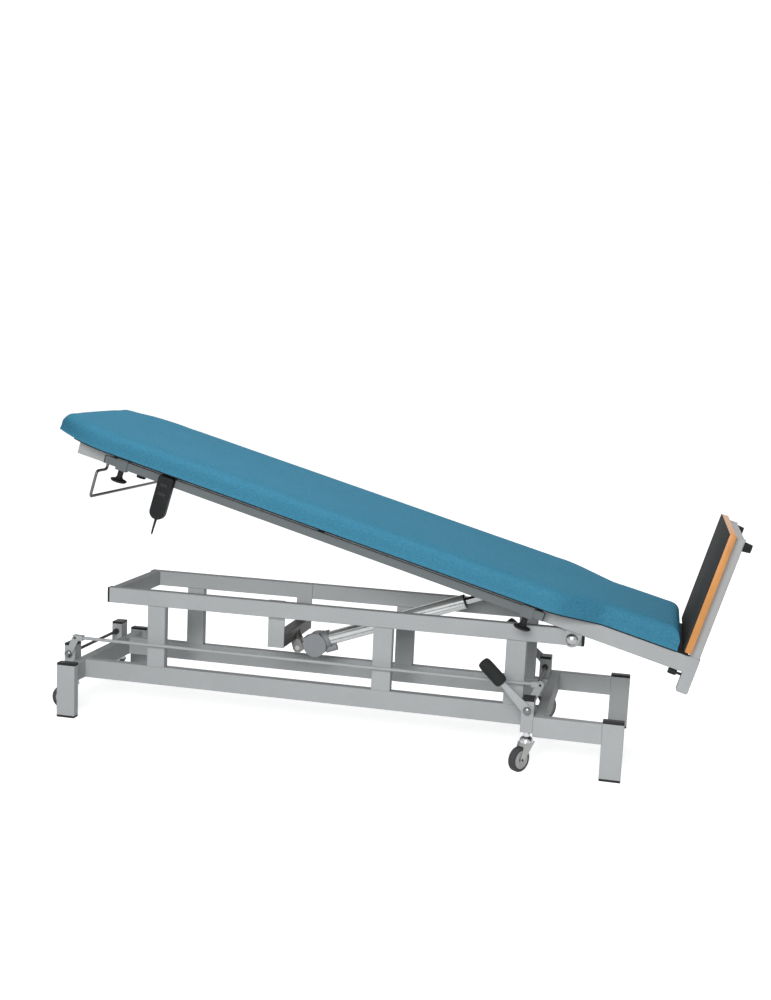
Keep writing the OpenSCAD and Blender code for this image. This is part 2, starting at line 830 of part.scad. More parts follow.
module main_rails() {
    color(steel) on_top() both()
        tube([-main_back, main_inner, main_v], [socket_u, main_w / 2, panel_v], 0);
}

// Cross tubes between the main rails, with the two ears of the upper clevis
module table_cross_tubes() {
    color(steel) on_top() {
        for (u = cross_tube_us)
            tube([u - cross_tube_w / 2, -main_inner, cross_tube_v],
                 [u + cross_tube_w / 2, main_inner, panel_v], 1);
        tube([pad_tube_u - pad_tube_w / 2, -main_inner, main_v],
             [pad_tube_u + pad_tube_w / 2, main_inner, panel_v], 1);
        both() {
            plate_y(ear_in, ear_in + ear_t) {
                translate([-upper_u, upper_v]) circle(r = ear_r);
                translate([-upper_u - ear_r, upper_v]) square([2 * ear_r, cross_tube_v - upper_v]);
            }
            translate([-upper_u, ear_in + ear_t, upper_v]) rod_y(clevis_head_d, 0, clevis_head_h);
        }
    }
}

module pivot_brackets() {
    outer = main_w / 2;
    color(steel) on_top() both() difference() {
        union() {
            plate_y(outer - bracket_t, outer) {
                difference() {
                    circle(r = bracket_r);
                    translate([-bracket_r, main_v]) square([2 * bracket_r, bracket_r]);
                }
                translate([-bracket_r, 0]) square([2 * bracket_r, main_v]);
            }
            rod_y(2 * (bracket_r - bracket_t), frame_w / 2 + loose, outer - bracket_t);
        }
        rod_y(pivot_d + 2 * fit, 0, main_w);
    }
}

module rest_pads() {
    color(black) on_top() both()
        translate([pad_tube_u, rail_y, main_v - rest_pad_h]) cylinder(d = rest_pad_d, h = rest_pad_h);
}

// Outline of the mattress: half width at a place along the top
neck_ease = 0.3;
function narrowing(t) = (t < neck_ease ? t * t / neck_ease / 2 : t - neck_ease / 2) / (1 - neck_ease / 2);
function eased(t) = 1 - (1 - t) * (1 - t);
function pad_half(u) =
    u < -pad_back + pad_corner
        ? (pad_head_w + (pad_w - pad_head_w) * eased((u + pad_back) / pad_corner)) / 2
    : u < -pad_neck_start ? pad_w / 2
    : u < pad_neck_end
        ? (pad_w - (pad_w - pad_foot_w) * narrowing((u + pad_neck_start) / (pad_neck_end + pad_neck_start))) / 2
    : pad_foot_w / 2;

// The panel starts at the head end of the rails, follows the mattress, set in from its
// edge, and runs on to the sockets
panel_inset = 6;
panel_head_steps = 4;
panel_head = -min(main_back, pad_back - panel_inset);
panel_neck_steps = 8;
panel_tail = 2;
panel_us = concat(
    [for (i = [0:panel_head_steps])
        panel_head + (pad_corner - pad_back - panel_head) * i / panel_head_steps],
    [for (i = [0:panel_neck_steps])
        -pad_neck_start + (pad_neck_start + pad_neck_end) * i / panel_neck_steps]);

module top_panel() {
    side = [for (u = panel_us) [u, pad_half(u) - panel_inset]];
    tail = [[pad_front - panel_inset, pad_foot_w / 2 - panel_inset],
            [pad_front - panel_inset, main_w / 2], [socket_u - panel_tail, main_w / 2]];
    half = concat(side, tail);
    n = len(half);
    color(black) on_top() translate([0, 0, panel_v]) linear_extrude(panel_t)
        polygon(concat(half, [for (i = [0:n - 1]) [half[n - 1 - i][0], -half[n - 1 - i][1]]]));
}

// Mattress: cross-sections along the top, which sink towards both upright ends
pad_edge_low = 2;
pad_edge_high = 18;
pad_end_round = 18;
pad_bulge = 1;
arc_steps = 4;
crown_steps = 4;
end_steps = 3;
neck_steps = 9;
corner_steps = 7;
pad_bottom_gap = 0.02;
function pad_section(half, drop) = let (
        w = half, lo = pad_edge_low, hi = pad_edge_high, t = pad_t - drop,
        right = concat(
            [for (i = [0:arc_steps]) let (a = -90 + 90 * i / arc_steps)
                [w - lo + lo * cos(a), lo + lo * sin(a)]],
            [[w + pad_bulge, (t - hi + lo) / 2]],
            [for (i = [0:arc_steps]) let (a = 90 * i / arc_steps)
                [w - hi + hi * cos(a), t - hi + hi * sin(a)]],
            [for (i = [1:crown_steps]) let (k = 1 - i / crown_steps)
                [(w - hi) * k, t + pad_crown * (1 - k * k)]]),
        n = len(right))
    concat(right, [for (i = [1:n - 1]) [-right[n - 1 - i][0], right[n - 1 - i][1]]]);
function station(u, drop) = [for (p = pad_section(pad_half(u), drop))
    [u, p[0], pad_v + pad_bottom_gap + p[1]]];
pad_head_us = [for (i = [0:end_steps]) let (a = 90 * i / end_steps)
    [-pad_back + pad_end_round * (1 - cos(a)), pad_end_round * (1 - sin(a))]];
pad_mid_us = concat(
    [for (k = [1:corner_steps]) [-pad_back + pad_end_round + (pad_corner - pad_end_round) * k / corner_steps, 0]],
    [for (k = [1:5]) let (a = -pad_back + pad_corner) [a + (-pad_neck_start - a) * k / 5, 0]],
    [for (k = [1:neck_steps]) [-pad_neck_start + (pad_neck_end + pad_neck_start) * k / neck_steps, 0]],
    [for (k = [1:2]) [pad_neck_end + (pad_front - pad_end_round - pad_neck_end) * k / 2, 0]]);
pad_foot_us = [for (i = [1:end_steps]) let (a = 90 * i / end_steps)
    [pad_front - pad_end_round * (1 - sin(a)), pad_end_round * (1 - cos(a))]];

module mattress() {
    rows = [for (s = concat(pad_head_us, pad_mid_us, pad_foot_us)) station(s[0], s[1])];
    m = len(rows[0]);
    k = len(rows);
    points = [for (r = rows) each r];
    sides = [for (j = [0:k - 2]) for (i = [0:m - 1])
        each [[j * m + i, j * m + (i + 1) % m, (j + 1) * m + i],
              [(j + 1) * m + i, j * m + (i + 1) % m, (j + 1) * m + (i + 1) % m]]];
    head = [[for (i = [0:m - 1]) m - 1 - i]];
    foot = [[for (i = [0:m - 1]) (k - 1) * m + i]];
    color(blue) on_top() polyhedron(points, concat(sides, head, foot), convexity = 4);
}

module side_rails() {
    color(rail_grey) on_top() both() {
        span([-side_back, side_w / 2 - side_t, side_v], [-side_front, side_w / 2, side_v + side_h]);
        for (u = spacer_us)
            span([u - spacer_w / 2, main_w / 2, side_v + (side_h - spacer_h) / 2],
                 [u + spacer_w / 2, side_w / 2 - side_t, side_v + (side_h + spacer_h) / 2]);
    }
}

module side_rail_caps() {
    color(black) on_top() both() {
        span([-side_back - side_cap_t, side_w / 2 - side_t, side_v], [-side_back, side_w / 2, side_v + side_h]);
        span([-side_front, side_w / 2 - side_t, side_v], [-side_front + side_cap_t, side_w / 2, side_v + side_h]);
    }
}

// Paper roll bar: one bent rod, from under a main rail, out, down and across
module quarter_bend() {
    rotate_extrude(angle = 90) translate([bar_bend, 0]) circle(d = bar_d, $fn = 24);
}

module paper_bar() {
    v1 = main_v - bar_drop1;
    v2 = v1 - bar_drop2;
    color(dark_metal) on_top() translate([bar_u, 0, 0]) {
        both() {
            translate([0, bar_y0, v1 + bar_bend]) cylinder(d = bar_d, h = bar_drop1 - bar_bend, $fn = 24);
            translate([0, bar_y0 + bar_bend, v1 + bar_bend]) rotate([0, 90, 0]) rotate([0, 0, -90])
                quarter_bend();
            translate([0, 0, v1]) rod_y(bar_d, bar_y0 + bar_bend, bar_y1 - bar_bend);
            translate([0, bar_y1 - bar_bend, v1 - bar_bend]) rotate([0, 90, 0]) rotate([0, 0, 90])
                quarter_bend();
            translate([0, bar_y1, v2 + bar_bend])
                cylinder(d = bar_d, h = bar_drop2 - 2 * bar_bend, $fn = 24);
            translate([0, bar_y1 - bar_bend, v2 + bar_bend]) rotate([0, 90, 0])
                quarter_bend();
        }
        translate([0, 0, v2]) rod_y(bar_d, -bar_y1 + bar_bend, bar_y1 - bar_bend);
    }
}

module rail_clamps() {
    y0 = side_w / 2 - side_t - clamp_wall;
    y1 = side_w / 2 + clamp_wall;
    z0 = side_v - clamp_wall - clamp_skirt;
    color(rail_grey) on_top() for (u = clamp_us) difference() {
        span([u - clamp_w / 2, -y1, z0], [u + clamp_w / 2, -y0, side_v + side_h + clamp_wall]);
        span([u - clamp_w, -side_w / 2 - loose, side_v - loose],
             [u + clamp_w, -side_w / 2 + side_t + loose, side_v + side_h + loose]);
        translate([u, -side_y, z0 - over]) cylinder(d = knob_stem_d + 2 * fit, h = clamp_wall + clamp_skirt + over);
    }
}

// Clamp knob: a screw, a stem and a flare that runs out into a thin wide disc
module clamp_knob(u) {
    top = side_v - clamp_wall - clamp_skirt - over - knob_v;
    color(black) on_top() translate([u, -side_y, knob_v]) {
        cylinder(d = knob_stem_d, h = side_v - loose - knob_v);
        rotate_extrude($fn = 48) {
            polygon([[0, 0], [knob_d / 2 - disc_edge, 0], [knob_d / 2, disc_edge],
                     [knob_d / 2, disc_h - disc_edge], [knob_d / 2 - disc_edge, disc_h - disc_edge / 2],
                     [boss_d / 2 + flare_w, disc_h], [boss_d / 2, disc_h + flare_h],
                     [boss_d / 2, top], [0, top]]);
        }
    }
}

module head_clamp_knob() { clamp_knob(clamp_us[0]); }
module foot_clamp_knob() { clamp_knob(clamp_us[1]); }

// Handset casing with its hook over the near side rail and the lead's strain relief
module handset() {
    r = handset_w / 2;
    low = handset_top - handset_h;
    color(black) on_top() translate([handset_u, 0, 0]) difference() {
        union() {
            plate_y(-handset_y1 - handset_t, -handset_y1) {
                translate([0, low + r]) circle(r = r);
                translate([-r, low + r]) square([handset_w, handset_h - r]);
            }
            span([-r, -handset_y1, side_v + side_h + loose],
                 [r, -side_w / 2 + side_t + loose + hook_t, handset_top]);
            span([-r, -side_w / 2 + side_t + loose, side_v + side_h - hook_drop],
                 [r, -side_w / 2 + side_t + loose + hook_t, handset_top]);
            translate([0, -handset_y1 - handset_t / 2, low - relief_l])
                cylinder(d1 = relief_d1, d2 = relief_d0, h = relief_l + over);
        }
        for (v = button_vs) translate([0, -handset_y1 - handset_t, v])
            button_shape(button_w + 2 * pocket_gap, button_h + 2 * pocket_gap, -over, button_t + pocket_gap);
    }
}

// Oval button between two depths, measured into the handset's front
module button_shape(w, h, y0, y1) {
    plate_y(y0, y1) {
        square([w - h, h], center = true);
        for (s = [-1, 1]) translate([s * (w - h) / 2, 0]) circle(d = h);
    }
}

module handset_button(v) {
    color(rubber_grey) on_top() translate([handset_u, -handset_y1 - handset_t, v])
        button_shape(button_w, button_h, -button_proud, button_t - button_proud);
}

module button_up() { handset_button(button_vs[0]); }
module button_down() { handset_button(button_vs[1]); }

// Handset lead: chosen points, in the frame of the top
lead_start = [handset_u, -handset_y1 - handset_t / 2, handset_top - handset_h - relief_l - loose];
route_unit = 1;
lead_points = concat([for (p = [
    [0, 0, 0], [0, 0, -8], [-0.8, 2, -15], [-3.3, 8, -20], [-7.1, 17, -18], [-10.4, 25, -10],
    [-12.9, 31, 6], [-14.5, 35, 30], [-15.8, 38, 58]]) lead_start + p * route_unit],
    [for (p = [
    [-1326, 50, -14], [-1328, 42, 4], [-1328, 28, 10],
    [-1328, 8, 11], [-1325, -6, 18], [-1315, -12, 30], [-1290, -14, 35],
    [-1210, -15, 35], [-1100, -15, 35], [-980, -15, 35], [-860, -15, 35],
    [-760, -15, 35], [-690, -16, 36], [-662, -24, 40], [-650, -44, 46], [-646, -66, 49],
    [-641, -78, 50]]) [p[0] * route_unit, -main_inner - p[1] * route_unit, p[2] * route_unit]
]);
lead_steps = 3;
lead_sides = 8;
function spline(p0, p1, p2, p3, t) = 0.5 * (2 * p1 + (p2 - p0) * t
    + (2 * p0 - 5 * p1 + 4 * p2 - p3) * t * t + (3 * p1 - p0 - 3 * p2 + p3) * t * t * t);
function lead_at(i) = lead_points[max(0, min(len(lead_points) - 1, i))];
lead_path = [for (i = [0:len(lead_points) - 2]) for (j = [0:lead_steps - 1])
        spline(lead_at(i - 1), lead_at(i), lead_at(i + 1), lead_at(i + 2), j / lead_steps),
    lead_at(len(lead_points) - 1)];
function unit(a) = a / norm(a);
function lead_dir(i) = unit(lead_path[min(i + 1, len(lead_path) - 1)] - lead_path[max(i - 1, 0)]);
function carried(v, d) = unit(v - (v * d) * d);
function lead_sides_at(i, v) = i == len(lead_path) ? []
    : let (n = carried(v, lead_dir(i))) concat([n], lead_sides_at(i + 1, n));

module handset_lead() {
    normals = lead_sides_at(0, [1, 0, 0]);
    k = len(lead_path);
    m = lead_sides;
    points = [for (i = [0:k - 1]) let (d = lead_dir(i), n = normals[i], b = cross(d, n))
        for (j = [0:m - 1]) let (a = 360 * j / m)
            lead_path[i] + lead_d / 2 * (cos(a) * n + sin(a) * b)];
    sides = [for (i = [0:k - 2]) for (j = [0:m - 1])
        each [[i * m + j, (i + 1) * m + j, i * m + (j + 1) % m],
              [(i + 1) * m + j, (i + 1) * m + (j + 1) % m, i * m + (j + 1) % m]]];
    ends = [[for (j = [0:m - 1]) j], [for (j = [0:m - 1]) (k - 1) * m + m - 1 - j]];
    color(black) on_top() polyhedron(points, concat(sides, ends), convexity = 10);
}

// Control box under the panel, with a bare mains inlet
module control_box() {
    color(black) on_top() translate([box_u, box_y, panel_v - box_h]) difference() {
        union() {
            cube([box_l, box_w, box_h]);
            translate([box_l, box_w / 2, box_h / 2]) rod_x(inlet_d, 0, inlet_l);
        }
        translate([box_l, box_w / 2, box_h / 2]) rod_x(inlet_d - 2 * box_lip, box_lip, inlet_l + over);
    }
}

// Sockets at the ends of the main rails, with a rounded lower corner
module footboard_sockets() {
    color(steel) on_top() both() difference() {
        plate_y(main_inner, main_w / 2) {
            translate([socket_u + socket_round, -socket_drop])
                square([post_w - 2 * socket_round, socket_drop + panel_v]);
            translate([socket_u, -socket_drop + socket_round])
                square([post_w, socket_drop + panel_v - socket_round]);
            for (x = [socket_u + socket_round, socket_u + post_w - socket_round])
                translate([x, -socket_drop + socket_round]) circle(r = socket_round);
        }
        span([socket_u + tube_wall, main_inner + tube_wall, -socket_drop + socket_floor],
             [socket_u + post_w - tube_wall, main_w / 2 - tube_wall, panel_v + over]);
        translate([socket_u, main_y, lock_v]) rod_x(lock_stem_d + 2 * fit, -over, 2 * tube_wall);
    }
}

// Lock knob: its screw goes through the front wall of a socket to the footboard's spigot
module lock_knob(side) {
    color(black) on_top() translate([socket_u, side * main_y, lock_v]) {
        rod_x(lock_stem_d, -lock_gap - over, tube_wall + spigot_gap - lock_tip / 2);
        rod_x(lock_d - lock_rim, -lock_gap - lock_l, -lock_gap);
        rod_x(lock_d, -lock_gap - lock_l + lock_rim, -lock_gap - lock_rim);
    }
}

module near_lock_knob() { lock_knob(-1); }
module far_lock_knob() { lock_knob(1); }

// Footboard frame: slim posts that slide in the sockets, and cross tubes behind the board
fb_in = socket_u + tube_wall + spigot_gap;
fb_out = socket_u + post_w - tube_wall - spigot_gap;
fb_y0 = main_inner + tube_wall + spigot_gap;
fb_y1 = main_w / 2 - tube_wall - spigot_gap;

module footboard_frame() {
    color(steel) on_top() {
        both() tube([fb_in, fb_y0, panel_v - spigot_l], [fb_out, fb_y1, post_top], 2);
        for (v = fb_tube_vs) tube([fb_in, -fb_y0, v], [fb_out, fb_y0, v + fb_tube_h], 1);
        both() soft_bar([fb_in, fb_y0, post_top], [fb_out, fb_y1, post_top + post_cap_t], 2, tube_round);
    }
}

module footboard_board() {
    color(wood) on_top()
        span([fb_in - board_t, -board_w / 2, board_v], [fb_in, board_w / 2, board_v + board_h]);
}

module footboard_mat() {
    color(rubber_grey) on_top()
        span([fb_in - board_t - mat_t, -board_w / 2, board_v], [fb_in - board_t, board_w / 2, board_v + board_h]);
}

module footboard_bumpers() {
    color(black) on_top() both() translate([fb_out, main_y, bumper_v]) rotate([0, 90, 0])
        cylinder(d1 = bumper_d, d2 = bumper_tip_d, h = bumper_l);
}

// Actuator

module actuator_housing() {
    color(housing_grey) on_actuator() difference() {
        union() {
            plate_y(-gear_w / 2, gear_w / 2) {
                translate([gear_s, gear_n]) circle(r = gear_r);
                translate([block_s0, gear_n]) square([block_s1 - block_s0, block_top - gear_n]);
            }
            plate_y(-eye_w / 2, eye_w / 2) {
                circle(r = eye_r);
                translate([0, -neck_w / 2]) square([block_s0 + over, neck_w]);
            }
            rod_x(collar_d, collar_s0, collar_s1);
            translate([0, 0, plug_n]) rod_x(plug_d, block_s1 - over, plug_s1);
            both() for (p = [[-26, 4], [-18, -22], [16, 4]])
                translate([gear_s + p[0], gear_w / 2, gear_n + p[1]]) rod_y(screw_d, -over, screw_h);
        }
        rod_x(outer_d + 2 * fit, tube_s0, plug_s1 + over);
        rod_y(clevis_d + 2 * fit, -eye_w, eye_w);
    }
}

module actuator_tube() {
    color(chrome) on_actuator() difference() {
        rod_x(outer_d, tube_s0 + fit, outer_end);
        rod_x(outer_d - 2 * outer_wall, tube_s0, outer_end - gland_l);
        rod_x(rod_d + 2 * fit, tube_s0, outer_end + over);
    }
}

module actuator_spindle() {
    color(zinc) on_actuator() {
        rod_x(spindle_d, tube_s0 + fit, spindle_end);
        rod_x(outer_d - 2 * outer_wall - 2 * fit, tube_s0 + fit, tube_s0 + gland_l);
    }
}

module actuator_sleeve() {
    color(zinc) on_actuator() difference() {
        rod_x(outer_d - 2 * outer_wall - 2 * fit, sleeve_s0, sleeve_s0 + sleeve_l);
        rod_x(rod_d + 2 * fit, sleeve_s0 - over, sleeve_s0 + sleeve_l + over);
    }
}

module actuator_rod() {
    color(chrome) on_actuator() {
        difference() {
            rod_x(rod_d, rod_s0, act_l - eye_r / 2);
            rod_x(rod_bore, rod_s0 - over, act_l - 2 * eye_r - over);
        }
        translate([act_l, 0, 0]) rod_y(2 * eye_r, -eye_w / 2, eye_w / 2);
    }
}

lower_rails();
cross_members();
uprights();
top_frame();
legs();
tube_caps();
leg_feet();
drop_plates();
actuator_crossbar();
caster_posts();
clevis_pin();
foot_shaft();
pedal_arms();
pedal_grips();
foot_shaft_nuts();
head_shaft();
head_shaft_nuts();
link_rod();
near_foot_stem();
near_foot_fork();
near_foot_wheel();
far_foot_stem();
far_foot_fork();
far_foot_wheel();
near_head_stem();
near_head_fork();
near_head_wheel();
far_head_stem();
far_head_fork();
far_head_wheel();
pivot_bolts();
main_rails();
table_cross_tubes();
pivot_brackets();
rest_pads();
top_panel();
mattress();
side_rails();
side_rail_caps();
paper_bar();
rail_clamps();
head_clamp_knob();
foot_clamp_knob();
handset();
button_up();
button_down();
handset_lead();
control_box();
footboard_sockets();
near_lock_knob();
far_lock_knob();
footboard_frame();
footboard_board();
footboard_mat();
footboard_bumpers();
actuator_housing();
actuator_tube();
actuator_spindle();
actuator_sleeve();
actuator_rod();
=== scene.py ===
"""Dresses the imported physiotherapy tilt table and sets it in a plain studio.

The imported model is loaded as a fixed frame. Soft pieces, plates and small fittings are
modelled over it, every carried-over node gets a procedural finish, and a camera and
lamps are placed. Lengths are metres and angles degrees unless a name says otherwise.
"""

from __future__ import annotations

import json
import logging
import math
from dataclasses import dataclass
from enum import Enum
from typing import Callable, Iterable, Sequence

import bpy
import bmesh
from mathutils import Matrix, Vector

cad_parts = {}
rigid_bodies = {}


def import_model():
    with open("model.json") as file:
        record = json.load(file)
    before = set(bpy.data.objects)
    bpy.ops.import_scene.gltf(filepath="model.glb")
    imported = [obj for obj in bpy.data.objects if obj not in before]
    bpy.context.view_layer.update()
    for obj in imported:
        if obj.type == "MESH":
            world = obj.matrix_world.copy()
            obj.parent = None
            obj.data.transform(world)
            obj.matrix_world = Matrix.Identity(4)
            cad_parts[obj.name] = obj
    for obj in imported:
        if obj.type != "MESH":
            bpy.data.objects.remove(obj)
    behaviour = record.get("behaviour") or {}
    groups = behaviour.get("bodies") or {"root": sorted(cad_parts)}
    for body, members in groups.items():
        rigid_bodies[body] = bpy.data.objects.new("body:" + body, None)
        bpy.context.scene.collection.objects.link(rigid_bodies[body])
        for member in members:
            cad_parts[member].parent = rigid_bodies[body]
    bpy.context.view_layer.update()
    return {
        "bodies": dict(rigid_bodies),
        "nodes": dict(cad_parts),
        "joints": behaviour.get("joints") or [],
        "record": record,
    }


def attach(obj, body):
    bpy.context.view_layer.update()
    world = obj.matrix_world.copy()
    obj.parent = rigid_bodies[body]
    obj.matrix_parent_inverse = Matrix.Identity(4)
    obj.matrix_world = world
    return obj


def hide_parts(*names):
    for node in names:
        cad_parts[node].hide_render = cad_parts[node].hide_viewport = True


LOG = logging.getLogger("tilt_table")

Colour = tuple[float, float, float]
Point = tuple[float, float, float]
Socket = bpy.types.NodeSocket
Material = bpy.types.Material
Piece = bpy.types.Object

PHOTO_WIDTH = 771
PHOTO_HEIGHT = 1000

MATT_SPECULAR = 0.12
NODE_SMOOTH = 30.0
PIECE_SMOOTH = 35.0
SOFT_SMOOTH = 60.0
SAME_PLACE = 1e-6

PIVOT_X = 0.5947
PIVOT_Z = 0.391
REST_TILT = 15.3
REAR_PIN_X = PIVOT_X - 0.889
REAR_PIN_Z = 0.236
UPPER_CLEVIS_U = 0.280


def top_frame() -> Matrix:
    """Return the placing of the tilting top: X down the top from the pivot, Z out of it."""
    return Matrix.Translation((PIVOT_X, 0, PIVOT_Z)) @ Matrix.Rotation(
        math.radians(REST_TILT), 4, "Y"
    )


def actuator_frame() -> Matrix:
    """Return the placing of the actuator: X from the rear pin to the upper clevis.

    Returns:
        The placing at rest.
    """
    tilt = math.radians(REST_TILT)
    dx = PIVOT_X - UPPER_CLEVIS_U * math.cos(tilt) - REAR_PIN_X
    dz = PIVOT_Z + UPPER_CLEVIS_U * math.sin(tilt) - REAR_PIN_Z
    return Matrix.Translation((REAR_PIN_X, 0, REAR_PIN_Z)) @ Matrix.Rotation(
        -math.atan2(dz, dx), 4, "Y"
    )


# Node graphs and finishes


class Graph:
    """A material's node tree with short calls for the nodes that the finishes use."""

    def __init__(self, name: str) -> None:
        """Create the material.

        Args:
            name: The material's name.
        """
        self.material = bpy.data.materials.new(name)
        self.material.use_nodes = True
        self.tree = self.material.node_tree
        self.tree.nodes.clear()
        self.output = self.tree.nodes.new("ShaderNodeOutputMaterial")
        self.shader = self.tree.nodes.new("ShaderNodeBsdfPrincipled")
        self.tree.links.new(self.shader.outputs["BSDF"], self.output.inputs["Surface"])
        self.coords = self.tree.nodes.new("ShaderNodeTexCoord").outputs["Object"]

    def link(self, source: Socket, target: Socket) -> None:
        """Join two sockets."""
        self.tree.links.new(source, target)

    def set(self, **values: float | Colour) -> None:
        """Set sockets of the shader.

        Args:
            values: A number or colour for each socket, named with underscores for spaces.
        """
        for key, value in values.items():
            socket = self.shader.inputs[key.replace("_", " ")]
            socket.default_value = (*value, 1.0) if isinstance(value, tuple) else value

    def mapping(self, scale: Point, turn_y: float = 0.0) -> Socket:
        """Return object coordinates turned about Y and scaled.

        Args:
            scale: The scale along X, Y and Z.
            turn_y: The turn about Y in degrees.

        Returns:
            The new coordinates.
        """
        node = self.tree.nodes.new("ShaderNodeMapping")
        node.inputs["Rotation"].default_value = (0, math.radians(turn_y), 0)
        node.inputs["Scale"].default_value = scale
        self.link(self.coords, node.inputs["Vector"])
        return node.outputs["Vector"]

    def height(self) -> Socket:
        """Return the height above the floor.

        Returns:
            The height, in metres at rest.
        """
        node = self.tree.nodes.new("ShaderNodeSeparateXYZ")
        self.link(self.coords, node.inputs["Vector"])
        return node.outputs["Z"]

    def noise(self, scale: float, detail: float = 2.0, roughness: float = 0.5,
              vector: Socket | None = None) -> Socket:
        """Return a noise texture's value.

        Args:
            scale: Features per metre.
            detail: The number of finer layers.
            roughness: How strong the finer layers are.
            vector: Coordinates, or None for the object's own.

        Returns:
            A value from 0 to 1.
        """
        node = self.tree.nodes.new("ShaderNodeTexNoise")
        node.inputs["Scale"].default_value = scale
        node.inputs["Detail"].default_value = detail
        node.inputs["Roughness"].default_value = roughness
        self.link(vector or self.coords, node.inputs["Vector"])
        return node.outputs["Fac"]

    def voronoi(self, scale: float) -> Socket:
        """Return a Voronoi texture's distance.

        Args:
            scale: Cells per metre.

        Returns:
            The distance to the nearest cell's point.
        """
        node = self.tree.nodes.new("ShaderNodeTexVoronoi")
        node.inputs["Scale"].default_value = scale
        self.link(self.coords, node.inputs["Vector"])
        return node.outputs["Distance"]

    def ramp(self, value: Socket, stops: Sequence[tuple[float, Colour]]) -> Socket:
        """Return a colour ramp of a value.

        Args:
            value: The value to colour.
            stops: A place from 0 to 1 and a colour for each stop.

        Returns:
            The colour.
        """
        node = self.tree.nodes.new("ShaderNodeValToRGB")
        while len(node.color_ramp.elements) < len(stops):
            node.color_ramp.elements.new(0.5)
        for element, (place, colour) in zip(node.color_ramp.elements, stops):
            element.position = place
            element.color = (*colour, 1.0)
        self.link(value, node.inputs["Fac"])
        return node.outputs["Color"]

    def span(self, value: Socket, low: float, high: float,
             source: tuple[float, float] = (0.0, 1.0)) -> Socket:
        """Return a value mapped from one span to another.

        Args:
            value: The value to map.
            low: The result at the start of the source span.
            high: The result at its end.
            source: The source span; values outside it are clamped.

        Returns:
            The mapped value.
        """
        node = self.tree.nodes.new("ShaderNodeMapRange")
        node.inputs["From Min"].default_value, node.inputs["From Max"].default_value = source
        node.inputs["To Min"].default_value, node.inputs["To Max"].default_value = low, high
        self.link(value, node.inputs["Value"])
        return node.outputs["Result"]

    def mix(self, factor: Socket, first: Socket | Colour,
            second: Socket | Colour) -> Socket:
        """Return two colours mixed by a factor.

        Args:
            factor: 0 for the first colour and 1 for the second.
            first: The first colour.
            second: The second colour.

        Returns:
            The mixed colour.
        """
        node = self.tree.nodes.new("ShaderNodeMix")
        node.data_type = "RGBA"
        self.link(factor, node.inputs["Factor"])
        for socket, value in ((node.inputs[6], first), (node.inputs[7], second)):
            if isinstance(value, tuple):
                socket.default_value = (*value, 1.0)
            else:
                self.link(value, socket)
        return node.outputs[2]

    def add(self, first: Socket, second: Socket) -> Socket:
        """Return the sum of two values.

        Args:
            first: The first value.
            second: The second value.

        Returns:
            The sum.
        """
        node = self.tree.nodes.new("ShaderNodeMath")
        node.operation = "ADD"
        self.link(first, node.inputs[0])
        self.link(second, node.inputs[1])
        return node.outputs[0]

    def bump(self, height: Socket, strength: float, distance: float) -> None:
        """Add a bump to the shader's normal.

        Args:
            height: The height from 0 to 1.
            strength: The share of the bump that shows.
            distance: The depth of the relief.
        """
        node = self.tree.nodes.new("ShaderNodeBump")
        node.inputs["Strength"].default_value = strength
        node.inputs["Distance"].default_value = distance
        self.link(height, node.inputs["Height"])
        self.link(node.outputs["Normal"], self.shader.inputs["Normal"])


def shade(colour: Colour, factor: float) -> Colour:
    """Return a colour made lighter or darker by a factor."""
    return tuple(min(1.0, c * factor) for c in colour)


@dataclass(frozen=True)
class PowderCoat:
    """Textured powder coat on steel, with faint cloudiness and a fine orange peel."""

    name: str
    colour: Colour
    cloud: float = 0.06
    speckle: float = 0.05
    roughness: float = 0.55
    grain: float = 900.0
    foot_tone: Colour | None = None
    foot_height: float = 0.0
    foot_blend: float = 0.0005

    def material(self) -> Material:
        """Build the material.

        Returns:
            The material.
        """
        g = Graph(self.name)
        cloud = g.ramp(g.noise(7.0, 3.0), [(0.3, shade(self.colour, 1 - self.cloud)),
                                           (0.7, shade(self.colour, 1 + self.cloud))])
        fleck = g.span(g.noise(self.grain * 0.6, 2.0, 0.7), 0.0, 1.0, (0.35, 0.65))
        base = g.mix(fleck, cloud, shade(self.colour, 1 + self.speckle * 2))
        if self.foot_tone is not None:
            edge = (self.foot_height - self.foot_blend, self.foot_height + self.foot_blend)
            base = g.mix(g.span(g.height(), 0.0, 1.0, edge), self.foot_tone, base)
        g.link(base, g.shader.inputs["Base Color"])
        g.link(g.span(g.noise(40.0), self.roughness - 0.05, self.roughness + 0.07),
               g.shader.inputs["Roughness"])
        g.bump(g.noise(self.grain, 3.0), 0.25, 0.0004)
        g.set(Specular_IOR_Level=MATT_SPECULAR)
        return g.material


@dataclass(frozen=True)
class Metal:
    """Bare, plated or polished metal, with faint smears and fine turning marks."""

    name: str
    colour: Colour
    roughness: float
    smear: float = 0.04
    scratch_scale: Point = (900.0, 60.0, 60.0)
    turn_y: float = 0.0
    scratch: float = 0.05
    metallic: float = 1.0

    def material(self) -> Material:
        """Build the material.

        Returns:
            The material.
        """
        g = Graph(self.name)
        tone = g.ramp(g.noise(30.0, 3.0), [(0.3, shade(self.colour, 0.94)), (0.7, self.colour)])
        g.link(tone, g.shader.inputs["Base Color"])
        g.link(g.span(g.noise(55.0, 4.0), self.roughness, self.roughness + self.smear),
               g.shader.inputs["Roughness"])
        lines = g.noise(1.0, 2.0, 0.5, g.mapping(self.scratch_scale, self.turn_y))
        g.bump(lines, self.scratch, 0.0001)
        g.set(Metallic=self.metallic)
        return g.material


